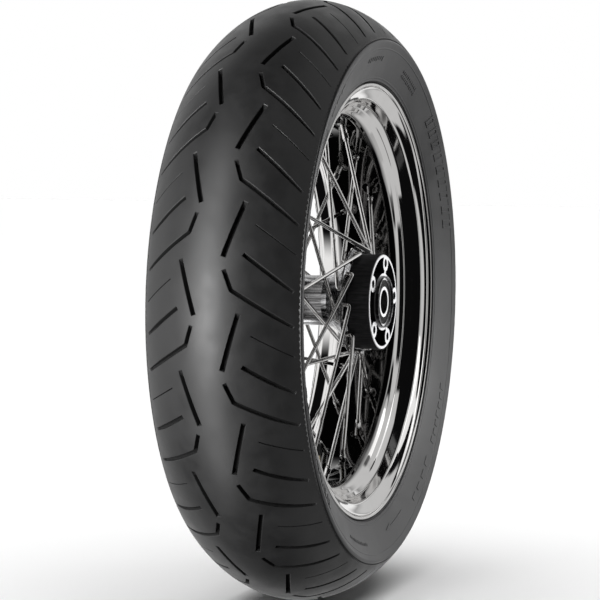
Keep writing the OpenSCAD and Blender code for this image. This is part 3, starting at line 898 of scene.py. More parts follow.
def paved(border, outlines, grid):
    """All the points given, and the triangles that fill the border round the outlines."""
    flat, edges = [], []
    for loop in (border, *outlines):
        start = len(flat)
        flat += list(loop)
        edges += [(start + k, start + (k + 1) % len(loop)) for k in range(len(loop))]
    flat = np.array(flat + list(grid))
    verts, _, faces, origins, _, _ = delaunay_2d_cdt(
        [Vector(p) for p in flat], edges, [], 0, 1e-5
    )
    verts = np.array([tuple(v) for v in verts])
    source = [o[0] if o else -1 for o in origins]
    if min(source) < 0 or len(set(source)) != len(flat):
        raise RuntimeError(f"the tread's outlines cross: {len(flat)} points became {len(verts)}")
    centres = np.array([verts[list(f)].mean(0) for f in faces])
    kept = inside(border, centres)
    for outline in outlines:
        kept &= ~inside(outline, centres)
    return flat, [[source[c] for c in f] for f, k in zip(faces, kept) if k]


def groove_walls(grooves, first, total, unit):
    """Points and faces of the grooves' walls and floors, below outlines that begin at first."""
    points, faces = [], []
    for groove in grooves:
        n = 2 * groove.size
        rings = [first]
        for loop, down in groove.loops[1:]:
            rings.append(total)
            points.append(np.column_stack([loop[:, 0] / unit, loop[:, 1], down]))
            total += n
        for upper, lower in zip(rings, rings[1:]):
            for k in range(n):
                m = (k + 1) % n
                faces.append((upper + k, upper + m, lower + m, lower + k))
        floor = rings[-1]
        for k in range(groove.size - 1):
            faces.append((floor + k, floor + k + 1, floor + n - 2 - k, floor + n - 1 - k))
        first += n
    return np.concatenate(points), faces


def build_tread(tyre):
    """One pitch is laid out flat, wrapped on the crown and repeated, then closed underneath."""
    crown = Crown(tyre)
    unit = crown.radius * pi / 180
    edge = crown.reach(tyre.tread_span)
    rim_line = edge - EDGE_LIP
    pitches = tyre.pitches
    step = 360.0 / pitches
    thick = tyre.tread_depth / MM

    seam = seam_line(unit, rim_line)
    shift = np.array([step * unit, 0.0])
    low = [seam[-1] + shift * k / EDGE_STEPS for k in range(1, EDGE_STEPS)]
    high = [seam[0] + shift * k / EDGE_STEPS for k in range(1, EDGE_STEPS)]
    border = np.concatenate([seam, low, (seam + shift)[::-1], high[::-1]])
    grooves = pitch_grooves(crown, tyre, border, shift)
    outlines = [groove.loops[0][0] for groove in grooves]
    flat, triangles = paved(border, outlines, filler_points(border, outlines, rim_line, unit))
    walls, groove_faces = groove_walls(grooves, len(border), len(flat), unit)
    surface = np.column_stack([flat[:, 0] / unit, flat[:, 1], np.zeros(len(flat))])
    around, along, depth = np.concatenate([surface, walls]).T

    # the far seam of a pitch is the near seam of the next
    size = len(seam)
    far = {size + EDGE_STEPS - 1 + k: size - 1 - k for k in range(size)}
    own = [v for v in range(len(around)) if v not in far]
    slot_of = {v: k for k, v in enumerate(own)}
    shape = Shape()
    outward = []
    for p in range(pitches):
        points, normals = crown.place(around[own] + p * step, along[own], depth[own])
        shape.add(points.tolist())
        outward += normals.tolist()

    def index(v, p):
        if v in far:
            return ((p + 1) % pitches) * len(own) + slot_of[far[v]]
        return (p % pitches) * len(own) + slot_of[v]

    def facing_out(face):
        ids = [index(v, 0) for v in face]
        normal = Vector(newell([shape.points[k] for k in ids]))
        return normal.dot(Vector(outward[ids[0]])) > 0

    turned = facing_out(triangles[0])
    for p in range(pitches):
        for triangle in triangles:
            ids = [index(v, p) for v in (triangle if turned else triangle[::-1])]
            shape.face(ids, [outward[k] for k in ids])
    for face in groove_faces:
        order = face if facing_out(face) else face[::-1]
        for p in range(pitches):
            shape.face([index(v, p) for v in order])

    # edges and underside, on even steps round the tyre
    ring = pitches * EDGE_STEPS
    left_edge = [size + EDGE_STEPS - 1 + size + k for k in range(EDGE_STEPS - 1)][::-1]
    right_edge = [size + k for k in range(EDGE_STEPS - 1)]
    left = [index(v, p) for p in range(pitches) for v in [0, *left_edge]]
    right = [index(v, p) for p in range(pitches) for v in [size - 1, *right_edge]]
    small = step / EDGE_STEPS
    lead = round((SEAM[0][0] - SEAM[-1][0]) / small)
    right = right[lead:] + right[:lead]
    degrees = SEAM[0][0] + small * np.arange(ring)
    under = [(edge, EDGE_LIP), (edge, thick)]
    under += [(v, thick) for v in (66, 44, 22, 0, -22, -44, -66)]
    under += [(-edge, thick), (-edge, EDGE_LIP)]
    rows = [left]
    for v, down in under:
        points, _ = crown.place(degrees, np.full(ring, float(v)), down)
        begin = shape.add(points.tolist())
        rows.append([begin + k for k in range(ring)])
    rows.append(right)
    for upper, lower in zip(rows, rows[1:]):
        for k in range(ring):
            m = (k + 1) % ring
            shape.face([upper[k], upper[m], lower[m], lower[k]])
    piece = shape.build("tyre_tread_skin", finish("tread"))
    settle(piece, "wheel", ["tyre_tread"])


class Wall:
    """The outside of one sidewall: a distance down it from the tread's edge leads to a place."""

    def __init__(self, tyre, rim):
        crown = Crown(tyre)
        self.edge = tyre.tread_span
        top = np.linspace(tyre.tread_span, pi / 2, 13)
        r0, y0 = crown.curve(top)
        guard_r = rim.seat_radius / MM + FLANGE + 2
        guard_y = rim.width / MM / 2 + 9.4
        widest = crown.radius - crown.drop
        s = np.radians(np.linspace(2, 90, 45))
        r1 = widest - (widest - guard_r) * np.sin(s)
        y1 = guard_y + (crown.half - guard_y) * (1 - np.sin(s)) ** 0.9
        self.r = np.concatenate([r0, r1])
        self.y = np.concatenate([y0, y1])
        self.arc = np.concatenate([[0.0], np.cumsum(np.hypot(np.diff(self.r), np.diff(self.y)))])
        dr, dy = np.gradient(self.r, self.arc), np.gradient(self.y, self.arc)
        self.nr, self.ny = dy, -dr

    def at(self, along, height=0.0):
        """Radius, side and normal at a distance down the wall and a height over it."""
        r, y = np.interp(along, self.arc, self.r), np.interp(along, self.arc, self.y)
        nr, ny = np.interp(along, self.arc, self.nr), np.interp(along, self.arc, self.ny)
        size = np.hypot(nr, ny)
        nr, ny = nr / size, ny / size
        return r + height * nr, y + height * ny, nr, ny


# Raised lines round the sidewall: distance down it, half width and height in millimetres.
WALL_LINES = (
    (3.2, 0.5, -0.35),
    (10.5, 0.45, 0.3),
    (43.0, 0.5, 0.35),
    (46.2, 0.35, 0.3),
    (49.0, 0.35, 0.3),
)
# Rows of plain bars: first angle, number, width and spacing in degrees, then distance down the
# wall and height in millimetres, and lean in degrees.
MARK_ROWS = (
    (60.0, 11, 0.55, 1.05, 20.0, 3.4, 0.2),
    (60.0, 11, 0.55, 1.05, 25.5, 3.4, 0.2),
    (88.0, 8, 0.9, 1.5, 19.0, 5.0, 0.5),
    (246.0, 14, 0.55, 1.0, 20.0, 3.4, 0.2),
    (318.0, 7, 1.5, 2.5, 15.0, 6.0, 0.2),
    (134.0, 10, 0.7, 1.3, 22.0, 4.0, 0.2),
    (298.0, 4, 2.6, 4.2, 17.0, 5.0, 0.0),
    (120.0, 3, 2.6, 4.2, 12.0, 5.0, 0.0),
)


def wall_section(wall, rim):
    """The closed section of a sidewall, with its raised lines."""
    stations = set(np.round(np.linspace(0.0, wall.arc[-1], 64), 3))
    for centre, half, _ in WALL_LINES:
        for k in (-1.6, -1.0, -0.5, 0.5, 1.0, 1.6):
            stations.add(round(centre + half * k, 3))
    along = np.array(sorted(stations))
    height = np.full(len(along), 0.0)
    height -= 0.5 * np.clip(1 - along / 1.2, 0, 1)
    for centre, half, rise in WALL_LINES:
        height += rise * np.clip((1.6 * half - np.abs(along - centre)) / (0.6 * half), 0, 1)
    r, y, _, _ = wall.at(along, height)
    outline = [(a, b, -1.0) for a, b in zip(r, y)]
    seat, half = rim.seat_radius / MM, rim.width / MM / 2
    top = seat + FLANGE
    outline += [
        (top + 1, half + 7.6, 0.5), (top + 0.3, half + 5.8, 0.8), (top - 0.8, half + 3.1, 1.0),
        (top - 3.4, half + 0.9, 1.5), (top - 6.8, half - 0.3, 1.5), (seat + 0.9, half - 0.3, 1.0),
        (seat + 0.3, half - 0.9, 0.8), (seat - 0.9, 44.0, 0.6), (seat + 2.2, 43.3, 0.5),
        (seat + 2.9, 44.5, 0.0), (seat + 2.9, 47.3, 0.0), (233.0, 57.6, -1.0), (245.0, 64.0, -1.0),
        (260.0, 70.0, -1.0), (270.0, 74.0, 0.0),
    ]
    return outline


def slab(shape, wall, side, corners, height=0.5, sink=0.3):
    """A raised mark on the sidewall, from corners (degrees, distance down the wall)."""
    ground, top = [], []
    for a, v in corners:
        for level, store in ((-sink, ground), (height, top)):
            r, y, _, _ = wall.at(v, level)
            store.append(tuple(polar(float(r), radians(a), side * float(y))))
    low, high = shape.add(ground), shape.add(top)
    n = len(corners)
    _, _, nr, ny = wall.at(float(np.mean([c[1] for c in corners])))
    mean = radians(float(np.mean([c[0] for c in corners])))
    out = Vector((nr * cos(mean), side * ny, nr * sin(mean)))
    good = Vector(newell(top)).dot(out) > 0
    order = list(range(n)) if good else list(range(n - 1, -1, -1))
    shape.face([high + k for k in order])
    for k in range(n):
        a, b = order[k], order[(k + 1) % n]
        shape.face([low + a, low + b, high + b, high + a])


def bar(a0, a1, v0, v1, lean=0.0, bow=1):
    """Corners of an upright bar between two angles and two distances down the wall."""
    top = [(a0 + (a1 - a0) * k / bow, v0) for k in range(bow + 1)]
    low = [(a0 + lean + (a1 - a0) * k / bow, v1) for k in range(bow + 1)]
    return top + low[::-1]


def wall_marks(shape, wall, side):
    """Plain raised bars, arcs and a rotation arrow where a tyre carries its markings."""
    for start in (14.0, 194.0):
        for k in range(9):
            a = start + k * 3.8
            for corners in (
                bar(a, a + 0.7, 10.0, 25.0, 1.0),
                bar(a + 1.5, a + 2.2, 10.0, 25.0, 1.0),
                bar(a + 0.7, a + 1.5, 10.0, 12.0, 0.1),
                bar(a + 1.7, a + 2.5, 23.0, 25.0, 0.1),
            ):
                slab(shape, wall, side, corners, 0.7)
    for start, number, width, gap, top, tall, lean in MARK_ROWS:
        for k in range(number):
            a = start + k * gap
            low = top + tall * (0.8 if k % 3 else 1.0)
            slab(shape, wall, side, bar(a, a + width, top, low, lean, 1 + int(width)))
    # rotation arrow: a curved shaft with a head
    slab(shape, wall, side, bar(280.0, 290.0, 27.2, 29.0, 0.0, 8))
    slab(shape, wall, side, [(280.0, 24.6), (280.0, 31.6), (276.6, 28.1)])


def build_walls(tyre, rim):
    wall = Wall(tyre, rim)
    section = wall_section(wall, rim)
    for side, name in ((-1, "brake"), (1, "drive")):
        shape = Shape()
        outline = [(r, side * y, size) for r, y, size in section]
        lathe(shape, rounded(outline), 360)
        wall_marks(shape, wall, side)
        piece = shape.build(f"tyre_wall_{name}", finish("sidewall"))
        settle(piece, "wheel", [f"tyre_sidewall_{name}"])


# ---------------------------------------------------------------- rim, spokes and nipples


# Side distances in millimetres: the bends of the inner and outer rows, and the rim's holes.
INNER_BEND, OUTER_BEND, RIM_HOLE = 44.5, 59.0, 13.0


def spoke_line(spokes, hub, rim, row, k):
    """The hub end and the rim end of a spoke's straight run, and its angle at the hub."""
    gap = 2 * pi / (2 * spokes.per_row)
    side = -1 if "brake" in row else 1
    turn = 0.0 if side < 0 else gap / 2
    inner = "inner" in row
    at = (2 * k + (1 if inner else 0)) * gap + turn
    reach = -spokes.lacing if inner else spokes.lacing
    start = polar(hub.hole_circle / MM, at, side * (INNER_BEND if inner else OUTER_BEND))
    end = polar(rim.well_radius / MM, at + reach, side * RIM_HOLE)
    return start, end, at


def rim_crossing(start, end, radius):
    """Angle and side distance where a spoke's line meets a radius."""
    run = end - start
    a = run.x**2 + run.z**2
    b = 2 * (start.x * run.x + start.z * run.z)
    c = start.x**2 + start.z**2 - radius**2
    t = (-b + math.sqrt(b * b - 4 * a * c)) / (2 * a)
    p = start + run * t
    return math.atan2(p.z, p.x), p.y


def rim_outline(rim):
    """The rim's section as corners (radius, side, rounding), once round."""
    seat, half = rim.seat_radius / MM, rim.width / MM / 2
    well, wall = rim.well_radius / MM, rim.well_wall / MM
    top = seat + FLANGE
    tyre_side = [
        (well, 27.0, 4.0), (well + 14.5, half - 17.0, 2.0), (seat - 0.6, half - 15.3, 1.0),
        (seat - 1.3, half - 13.5, 1.0), (seat, half - 0.8, 0.8), (top - 6.8, half, 3.0),
        (top - 3.6, half + 1.2, 2.0), (top - 1, half + 3.4, 2.0), (top, half + 5.8, 1.4),
        (top - 0.2, half + 7.8, 1.3),
    ]
    hub_side = [
        (top - 1.3, half + 8.9, 1.2), (top - 2.9, half + 8.8, 0.9), (top - 3.9, half + 7.6, 0.9),
        (top - 4.5, half + 6.0, 2.0), (top - 6.4, half + 4.6, 2.5), (top - 12.4, half + 2.5, 3.0),
        (seat - 2.8, half + 0.3, 1.8), (seat - 4, half - 1.2, 1.6), (seat - 6.6, half - 11.6, 1.6),
        (206.6, 41.0, 0.4), (205.4, 40.2, 0.4), (201.6, 36.3, 1.0), (well - wall + 2.4, 33.0, 2.0),
        (well - wall, 28.0, 2.5),
    ]
    floor = [(well - wall, y, -1.0) for y in np.arange(25.0, -25.1, -1.25)]
    mirrored = [(r, -y, size) for r, y, size in hub_side[::-1]]
    back = [(r, -y, size) for r, y, size in tyre_side[::-1]]
    return tyre_side + hub_side + floor + mirrored + back


def build_rim(rim, spokes, hub):
    floor = (rim.well_radius - rim.well_wall) / MM
    height, reach = rim.boss_height / MM, rim.boss_radius / MM
    spots = []
    for row in SPOKES:
        for k in range(spokes.per_row):
            start, end, _ = spoke_line(spokes, hub, rim, row, k)
            spots.append(rim_crossing(start, end, floor - 1.0))

    def bosses(angles, sides):
        """How far the floor stands proud towards the hub."""
        rise = np.zeros((len(angles), len(sides)))
        for at, side in spots:
            away = (angles - at + pi) % (2 * pi) - pi
            d = np.hypot((away * floor)[:, None], (sides - side)[None, :])
            dome = np.clip(1 - (d / reach) ** 2, 0, 1) ** 2
            cup = np.exp(-((d / 3.6) ** 2)) * 0.35
            rise = np.maximum(rise, height * (dome - cup * (d < reach)))
        return rise

    def lift(points, normals, angles, sec):
        on = np.where((np.abs(sec[:, 0] - floor) < 1e-6) & (np.abs(sec[:, 1]) < 25.2))[0]
        sides = sec[on, 1]
        rise = bosses(angles, sides)
        step = 0.4
        across = (bosses(angles, sides + step) - bosses(angles, sides - step)) / (2 * step)
        swing = step / floor
        around = (bosses(angles + swing, sides) - bosses(angles - swing, sides)) / (2 * step)
        c, s = np.cos(angles)[:, None], np.sin(angles)[:, None]
        points[:, on, 0] = (floor - rise) * c
        points[:, on, 1] = (floor - rise) * s
        # the surface looks at the axle; its slope tips the normal
        nx = around * s - c
        ny = -s - around * c
        nz = -across
        size = np.sqrt(nx**2 + ny**2 + nz**2)
        normals[:, on, 0] = nx / size
        normals[:, on, 1] = ny / size
        normals[:, on, 2] = nz / size
        return points, normals

    shape = Shape()
    lathe(shape, rounded(rim_outline(rim), steps=4), 720, lift=lift)
    settle(shape.build("rim_plated", finish("rim")), "wheel", ["rim"])


def build_spokes(spokes, hub, rim):
    wire, butt = spokes.wire / MM / 2, spokes.butt / MM / 2
    for row in SPOKES:
        shape = Shape()
        for k in range(spokes.per_row):
            start, end, at = spoke_line(spokes, hub, rim, row, k)
            side = -1 if "brake" in row else 1
            inner = "inner" in row
            ahead = (end - start).normalized()
            radius = hub.hole_circle / MM
            # the head lies behind the flange: a dome, then its flat, then the butt to the bend
            head_y, toward = (51.0, 1.0) if inner else (48.5, -1.0)
            far = head_y + toward * 1.4
            head = [polar(radius, at, side * y) for y in (far, far - toward * 0.35, head_y)]
            path = [head[0], head[1], head[2], head[2], start, start + ahead * 26]
            path += [start + ahead * 36, end - ahead * 0.5]
            radii = [2.2, 3.4, 3.4, butt, butt, butt, wire, wire]
            bend = bent(path[3:], 1, 3.4)
            radii = radii[:4] + [butt] * (len(bend) - 4) + [butt, wire, wire]
            tube(shape, path[:4] + bend[1:], radii, 20)
        piece = shape.build(row + "_wire", finish("spoke"))
        settle(piece, "wheel", [row])


def along_line(start, end, distance):
    """A place at a distance along a line, with local Z pointing along it."""
    z = (end - start).normalized()
    x = z.orthogonal().normalized()
    y = z.cross(x)
    origin = start + z * distance
    rows = [(x[i], y[i], z[i], origin[i]) for i in range(3)]
    return Matrix((*rows, (0, 0, 0, 1)))


def build_nipples(spokes, hub, rim):
    wire, shank = spokes.wire / MM / 2, spokes.nipple / MM
    outline = [
        (wire + 0.1, -21.0, 0.2), (shank - 0.5, -21.0, 0.5), (shank - 0.25, -20.0, 0.3),
        (shank - 0.25, -18.2, 0.2), (shank + 0.35, -17.8, 0.3), (shank + 0.35, -12.4, 0.3),
        (shank, -11.9, 0.3), (shank, 0.0, 0.3), (4.6, 0.4, 0.4), (4.4, 1.8, 0.5),
        (3.4, 2.5, 0.4), (wire + 0.1, 2.5, 0.2),
    ]

    def flats(points, normals, angles, sec):
        """Mills the four key flats."""
        milled = (sec[:, 1] > -18.1) & (sec[:, 1] < -12.0) & (sec[:, 0] > shank)
        turn = (angles + pi / 4) % (pi / 2) - pi / 4
        limit = (shank - 0.3) / np.cos(turn)
        for i in np.where(milled)[0]:
            r = np.minimum(sec[i, 0], limit)
            points[:, i, 0], points[:, i, 1] = r * np.cos(angles), r * np.sin(angles)
            flat = limit < sec[i, 0]
            face = angles - turn
            normals[flat, i, 0] = np.cos(face[flat])
            normals[flat, i, 1] = np.sin(face[flat])
            normals[flat, i, 2] = 0
        return points, normals

    for row, spoke_row in zip(NIPPLES, SPOKES):
        shape = Shape()
        for k in range(spokes.per_row):
            start, end, _ = spoke_line(spokes, hub, rim, spoke_row, k)
            place = along_line(start, end, (end - start).length - 1.5)
            lathe(shape, rounded(outline, steps=2), 24, place, lift=flats)
        piece = shape.build(row + "_turned", finish("nipple"))
        settle(piece, "wheel", [row])


# ---------------------------------------------------------------- hub and valve


def dress(names, coat):
    """Gives CAD nodes that stay in view their finish."""
    for name in names:
        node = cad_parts[name]
        node.data.materials.clear()
        node.data.materials.append(finish(coat))


BEARING_SUNK = 6.3  # from a carrier's face in to the middle of its bearing


def build_bearing_rings(hub):
    bore = hub.bore / MM
    inner = [
        (bore, -7.5, 0.6), (16.4, -7.5, 0.5), (16.4, -3.2, 0.2), (15.3, -1.2, -1.0),
        (15.15, 0.0, -1.0), (15.3, 1.2, -1.0), (16.4, 3.2, 0.2), (16.4, 7.5, 0.5),
        (bore, 7.5, 0.6),
    ]
    outer = [
        (23.3, -7.5, 0.4), (26.0, -7.5, 0.8), (26.0, 7.5, 0.8), (23.3, 7.5, 0.4),
        (23.3, 6.0, 0.1), (22.1, 6.0, 0.1), (22.1, 3.0, 0.1), (23.2, 1.0, -1.0),
        (23.3, 0.0, -1.0), (23.2, -1.0, -1.0), (22.1, -3.0, 0.1), (22.1, -6.0, 0.1),
        (23.3, -6.0, 0.1),
    ]
    seal = [
        (16.8, 6.3, 0.1), (17.6, 6.3, 0.2), (23.1, 6.3, 0.1), (23.1, 7.1, 0.25),
        (21.6, 7.25, 0.3), (21.2, 6.9, 0.2), (19.2, 6.9, 0.2), (18.8, 7.3, 0.3),
        (17.2, 7.3, 0.3), (16.8, 6.9, 0.15),
    ]
    for name, way, face in (("brake", -1, hub.brake_face), ("drive", 1, hub.drive_face)):
        y = way * (face / MM - BEARING_SUNK)
        rings = (
            ("inner_race", inner, "steel", "bearing_steel", "axle_set", 1),
            ("outer_race", outer, "steel", "bearing_steel", "wheel", 1),
            ("seal", seal, "seal", "seal_rubber", "wheel", way),
            ("inner_seal", seal, "seal", "seal_rubber", "wheel", -way),
        )
        for label, outline, coat, slot, body, flip in rings:
            shape = Shape()
            lathe(shape, rounded([(r, y + flip * h, cut) for r, h, cut in outline]), 128)
            piece = shape.build(f"bearing_{label}_{name}_ring", finish(coat))
            settle(piece, body, [f"bearing_{label}_{name}"])


def build_valve_spring(turns=7, fine=16):
    """The core's coil spring, at one fixed length."""
    along = Vector((cos(VALVE_ANGLE), 0.0, sin(VALVE_ANGLE)))
    across = along.orthogonal().normalized()
    other = along.cross(across)
    low, high, travel, coil, wire = 161.1, 170.7, 1.5, 1.15, 0.2
    path = []
    for k in range(turns * fine + 1):
        a = 2 * pi * k / fine
        rise = low + (high - low) * k / (turns * fine)
        path.append(along * rise + (across * cos(a) + other * sin(a)) * coil)
    shape = Shape()
    tube(shape, path, [wire] * len(path), 8)
    piece = shape.build("valve_spring_coil", finish("steel"))
    settle(piece, "wheel", ["valve_spring"])
    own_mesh(piece)


# ---------------------------------------------------------------- stage


FLOOR_HALF, FLOOR_ROWS = 9.0, 24  # metres from its middle to a side, and squares along a side
FLOOR_GAP = 0.0004  # metres that it lies below the tyre
FLOOR_SUN, FLOOR_SUN_ANGLE = 3.55, radians(80)  # strength of the light over it and its spread
SENSOR, VIEW_SHIFT = 36.0, -1 / 48  # millimetres, and a share of the view's width


def add_camera(stage):
    """A camera looking at the wheel's centre, with the wheel a little left of the middle."""
    scene = bpy.context.scene
    camera = bpy.data.objects.new("camera", bpy.data.cameras.new("camera"))
    scene.collection.objects.link(camera)
    a, e = stage.azimuth, stage.elevation
    back = Vector((sin(a) * cos(e), -cos(a) * cos(e), sin(e)))
    camera.location = back * stage.distance
    camera.rotation_mode = "QUATERNION"
    camera.rotation_quaternion = (-back).to_track_quat("-Z", "Y")
    camera.data.sensor_width = SENSOR
    camera.data.lens = stage.lens
    camera.data.shift_x = VIEW_SHIFT
    camera.data.clip_start, camera.data.clip_end = 0.05, 60.0
    scene.camera = camera


def add_floor(tyre):
    """A floor that touches the tyre. It isn't mirrored in the plating."""
    spots, faces = [], []
    for i in range(FLOOR_ROWS + 1):
        for j in range(FLOOR_ROWS + 1):
            x, y = (FLOOR_HALF * (2 * k / FLOOR_ROWS - 1) for k in (i, j))
            spots.append((x, y, -tyre.radius - FLOOR_GAP))
    for i in range(FLOOR_ROWS):
        for j in range(FLOOR_ROWS):
            k = i * (FLOOR_ROWS + 1) + j
            faces.append((k, k + FLOOR_ROWS + 1, k + FLOOR_ROWS + 2, k + 1))
    floor = bpy.data.meshes.new("floor")
    floor.from_pydata(spots, [], faces)
    floor.materials.append(finish("floor"))
    ground = bpy.data.objects.new("floor", floor)
    ground.visible_glossy = False
    ground.visible_diffuse = False
    bpy.context.scene.collection.objects.link(ground)
    return ground


def share(light, lit, shading):
    """Lets a light reach some objects only, and be shaded by some only."""
    for kind, members in (("receiver", lit), ("blocker", shading)):
        group = bpy.data.collections.new(f"{light.name}_{kind}")
        for obj in members:
            group.objects.link(obj)
        setattr(light.light_linking, kind + "_collection", group)


def add_soft_box(name, place, wide, tall, radiance):
    """A soft box aimed at the wheel."""
    lamp = bpy.data.lights.new(name, "AREA")
    lamp.shape = "RECTANGLE"
    lamp.size, lamp.size_y = wide, tall
    lamp.energy = radiance * pi * wide * tall
    light = bpy.data.objects.new(name, lamp)
    light.location = place
    light.rotation_mode = "QUATERNION"
    light.rotation_quaternion = (-Vector(place)).to_track_quat("-Z", "Y")
    light.visible_camera = False
    bpy.context.scene.collection.objects.link(light)
    return light


def build_stage(stage):
    scene = bpy.context.scene
    add_camera(stage)
    ground = add_floor(scene.wheel_tyre)
    scene.view_settings.view_transform = "Standard"
    build_world(stage)

    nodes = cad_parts
    wheel = [o for o in scene.objects if o.type == "MESH" and o is not ground]
    rubber = [o for o in wheel if "tyre" in o.name]
    walls = [o for o in rubber if "wall" in o.name]
    dull = rubber + [nodes["disc_carrier"], nodes["valve_cap"]]
    shell = [nodes["hub_shell"]]
    plated = [o for o in wheel if o.name.startswith("spokes")] + shell
    rings = [o for o in wheel if "race" in o.name or "seal" in o.name]
    lamps = (
        ("key", (-2.75, 1.0, 0.0), 1.0, 1.8, stage.key, dull),
        ("key_low", (-1.8, 0.8, -1.7), 1.0, 1.6, stage.key * 0.27, dull),
        ("key_high", (-1.8, 0.8, 1.5), 1.0, 1.4, stage.key * 0.30, dull),
        ("hub_light", (-2.7, 1.0, -0.35), 0.9, 0.4, 1.6, plated),
        ("hub_top", (1.0, 1.0, 2.4), 0.8, 0.8, 2.0, shell),
        ("hub_bottom", (1.0, 1.0, -2.4), 0.8, 0.8, 3.0, shell),
        ("face_light", (2.65, -0.9, -0.2), 1.0, 1.0, 1.4, rings + [nodes["disc_carrier"]]),
        ("wall_fill", (0.9, -2.5, 0.8), 1.7, 1.9, stage.wall_fill, walls),
        ("fill", (1.6, -2.4, 0.9), 1.2, 1.6, stage.fill, None),
    )
    for name, place, wide, tall, radiance, lit in lamps:
        light = add_soft_box(name, place, wide, tall, radiance)
        if lit:
            share(light, lit, wheel)
    sun = bpy.data.lights.new("floor_light", "SUN")
    sun.energy, sun.angle = FLOOR_SUN, FLOOR_SUN_ANGLE
    overhead = bpy.data.objects.new("floor_light", sun)
    overhead.location = (0.0, 0.0, 3.0)
    scene.collection.objects.link(overhead)
    share(overhead, [ground], wheel)


def build_world(stage):
    """White to the camera; to the plating, pale strips on the brake side and dark elsewhere."""
    world = bpy.data.worlds.new("studio")
    bpy.context.scene.world = world
    world.use_nodes = True
    g = Graph(world.node_tree)
    x, y, z = g.axes(g.node("ShaderNodeTexCoord", output=0))
    turn = g.node("ShaderNodeMath", {"operation": "ARCTAN2"}, [x, 0.0 - y]) * (180 / pi)

    def strip(low, high, soft=1.5):
        """1 between two directions round the wheel, in degrees from the brake side."""
        return turn.step(low - soft, low + soft) * (1.0 - turn.step(high - soft, high + soft))

    steep = z.math("ABSOLUTE")  # how far a direction is from level
    tall = 1.0 - steep.step(0.84, 0.94)
    low = 1.0 - steep.step(0.6, 0.8)
    level = 1.0 - steep.step(0.42, 0.66)
    gaps = (strip(4.0, 14.0) + strip(31.0, 53.0)) * level
    side = strip(-10.0, 120.0) * tall * (1.0 - gaps) * (1.0 - y.step(-0.3, -0.1)) * 0.62
    pale = side.math("MAXIMUM", strip(78.0, 152.0, 4.0) * low)
    pale = pale.math("MAXIMUM", y.step(0.44, 0.58) * (1.0 - steep.step(0.28, 0.5)))
    glossy = g.mix(pale, (0.004, 0.004, 0.0042), (1.0, 1.0, 1.0))
    camera = g.node("ShaderNodeLightPath", output="Is Camera Ray")
    mirror = g.node("ShaderNodeLightPath", output="Is Glossy Ray")
    light = g.mix(mirror, (stage.ambient,) * 3, glossy)
    sky = g.mix(camera, light, (1.0, 1.0, 1.0))
    g.put(world.node_tree.nodes["Background"].inputs["Color"], sky)


# ---------------------------------------------------------------- operators


class WHEEL_OT_tread(bpy.types.Operator):
    """Build the tread with its grooves"""

    bl_idname = "wheel.tread"
    bl_label = "Tread"

    def execute(self, context):
        build_tread(context.scene.wheel_tyre)
        return {"FINISHED"}


class WHEEL_OT_sidewalls(bpy.types.Operator):
    """Build both sidewalls with their raised lines and marks"""

    bl_idname = "wheel.sidewalls"
    bl_label = "Sidewalls"

    def execute(self, context):
        build_walls(context.scene.wheel_tyre, context.scene.wheel_rim)
        return {"FINISHED"}


class WHEEL_OT_carcass(bpy.types.Operator):
    """Finish the layers and the tube inside the tyre"""

    bl_idname = "wheel.carcass"
    bl_label = "Carcass and tube"

    def execute(self, context):
        dress(["tyre_belt"], "belt")
        dress(["tyre_casing"], "casing")
        dress(["tyre_inner_liner"], "liner")
        dress(["bead_filler_brake", "bead_filler_drive"], "filler")
        dress(["bead_wire_brake", "bead_wire_drive"], "bead")
        dress(["inner_tube"], "tube")
        dress(["rim_tape"], "tape")
        return {"FINISHED"}


class WHEEL_OT_rim(bpy.types.Operator):
    """Build the plated rim with a dimple round each nipple"""

    bl_idname = "wheel.rim"
    bl_label = "Rim"

    def execute(self, context):
        scene = context.scene
        build_rim(scene.wheel_rim, scene.wheel_spokes, scene.wheel_hub)
        return {"FINISHED"}


class WHEEL_OT_spokes(bpy.types.Operator):
    """Build the four rows of butted spokes"""

    bl_idname = "wheel.spokes"
    bl_label = "Spokes"

    def execute(self, context):
        scene = context.scene
        build_spokes(scene.wheel_spokes, scene.wheel_hub, scene.wheel_rim)
        return {"FINISHED"}


class WHEEL_OT_nipples(bpy.types.Operator):
    """Build the nipples with their key flats"""

    bl_idname = "wheel.nipples"
    bl_label = "Nipples"

    def execute(self, context):
        scene = context.scene
        build_nipples(scene.wheel_spokes, scene.wheel_hub, scene.wheel_rim)
        return {"FINISHED"}


class WHEEL_OT_hub(bpy.types.Operator):
    """Finish the hub shell and its two carriers"""

    bl_idname = "wheel.hub"
    bl_label = "Hub"

    def execute(self, context):
        dress(["hub_shell"], "hub")
        dress(["disc_carrier"], "disc_carrier")
        dress(["sprocket_carrier"], "sprocket_carrier")
        return {"FINISHED"}


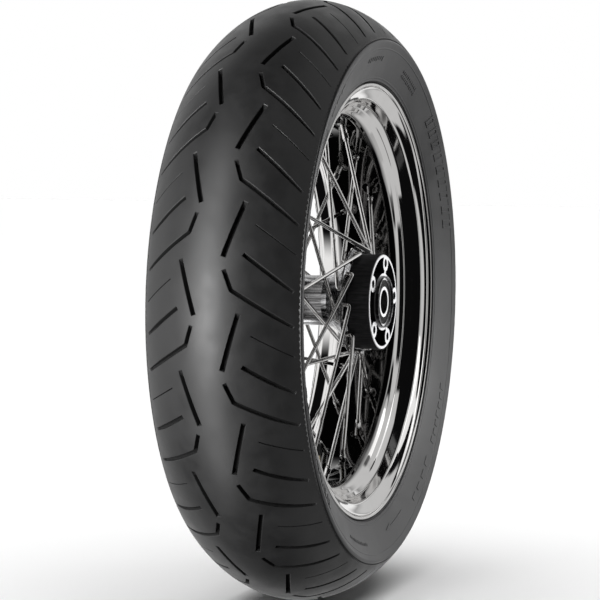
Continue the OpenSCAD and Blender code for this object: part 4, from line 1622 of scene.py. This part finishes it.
class WHEEL_OT_bearings(bpy.types.Operator):
    """Build the bearings' rings and seals and finish their balls"""

    bl_idname = "wheel.bearings"
    bl_label = "Bearings"

    def execute(self, context):
        build_bearing_rings(context.scene.wheel_hub)
        dress(["bearing_spacer"], "steel")
        for side in ("brake", "drive"):
            dress([f"bearing_balls_{side}", f"bearing_cage_{side}"], "steel")
        return {"FINISHED"}


class WHEEL_OT_valve(bpy.types.Operator):
    """Finish the valve, its core and its cap, and build its spring"""

    bl_idname = "wheel.valve"
    bl_label = "Valve"

    def execute(self, context):
        dress(["valve_stem", "valve_nut", "valve_washer", "valve_core", "valve_pin"], "brass")
        build_valve_spring()
        dress(["valve_cap"], "cap")
        return {"FINISHED"}


class WHEEL_OT_stage(bpy.types.Operator):
    """Set up the floor, the lights and the camera"""

    bl_idname = "wheel.stage"
    bl_label = "Stage"

    def execute(self, context):
        build_stage(context.scene.wheel_stage)
        return {"FINISHED"}


OPERATORS = (
    WHEEL_OT_tread, WHEEL_OT_sidewalls, WHEEL_OT_carcass, WHEEL_OT_rim, WHEEL_OT_spokes,
    WHEEL_OT_nipples, WHEEL_OT_hub, WHEEL_OT_bearings, WHEEL_OT_valve, WHEEL_OT_stage,
)


class WHEEL_PT_builder(bpy.types.Panel):
    """Lists the wheel's sizes, colours and build steps."""

    bl_label = "Motorcycle wheel"
    bl_idname = "WHEEL_PT_builder"
    bl_space_type = "VIEW_3D"
    bl_region_type = "UI"
    bl_category = "Wheel"

    def draw(self, context):
        for key, group in GROUPS.items():
            box = self.layout.box()
            box.label(text=group.__doc__)
            for name in group.__annotations__:
                box.prop(getattr(context.scene, key), name)
        for kind in OPERATORS:
            self.layout.operator(kind.bl_idname)


def register():
    for group in GROUPS.values():
        bpy.utils.register_class(group)
    for key, group in GROUPS.items():
        setattr(bpy.types.Scene, key, bpy.props.PointerProperty(type=group))
    for kind in (*OPERATORS, WHEEL_PT_builder):
        bpy.utils.register_class(kind)


def unregister():
    for kind in (WHEEL_PT_builder, *reversed(OPERATORS)):
        bpy.utils.unregister_class(kind)
    for key in GROUPS:
        delattr(bpy.types.Scene, key)
    for group in reversed(list(GROUPS.values())):
        bpy.utils.unregister_class(group)


def main():
    register()
    for kind in OPERATORS:
        space, name = kind.bl_idname.split(".")
        getattr(getattr(bpy.ops, space), name)()


if __name__ == "__main__":
    main()
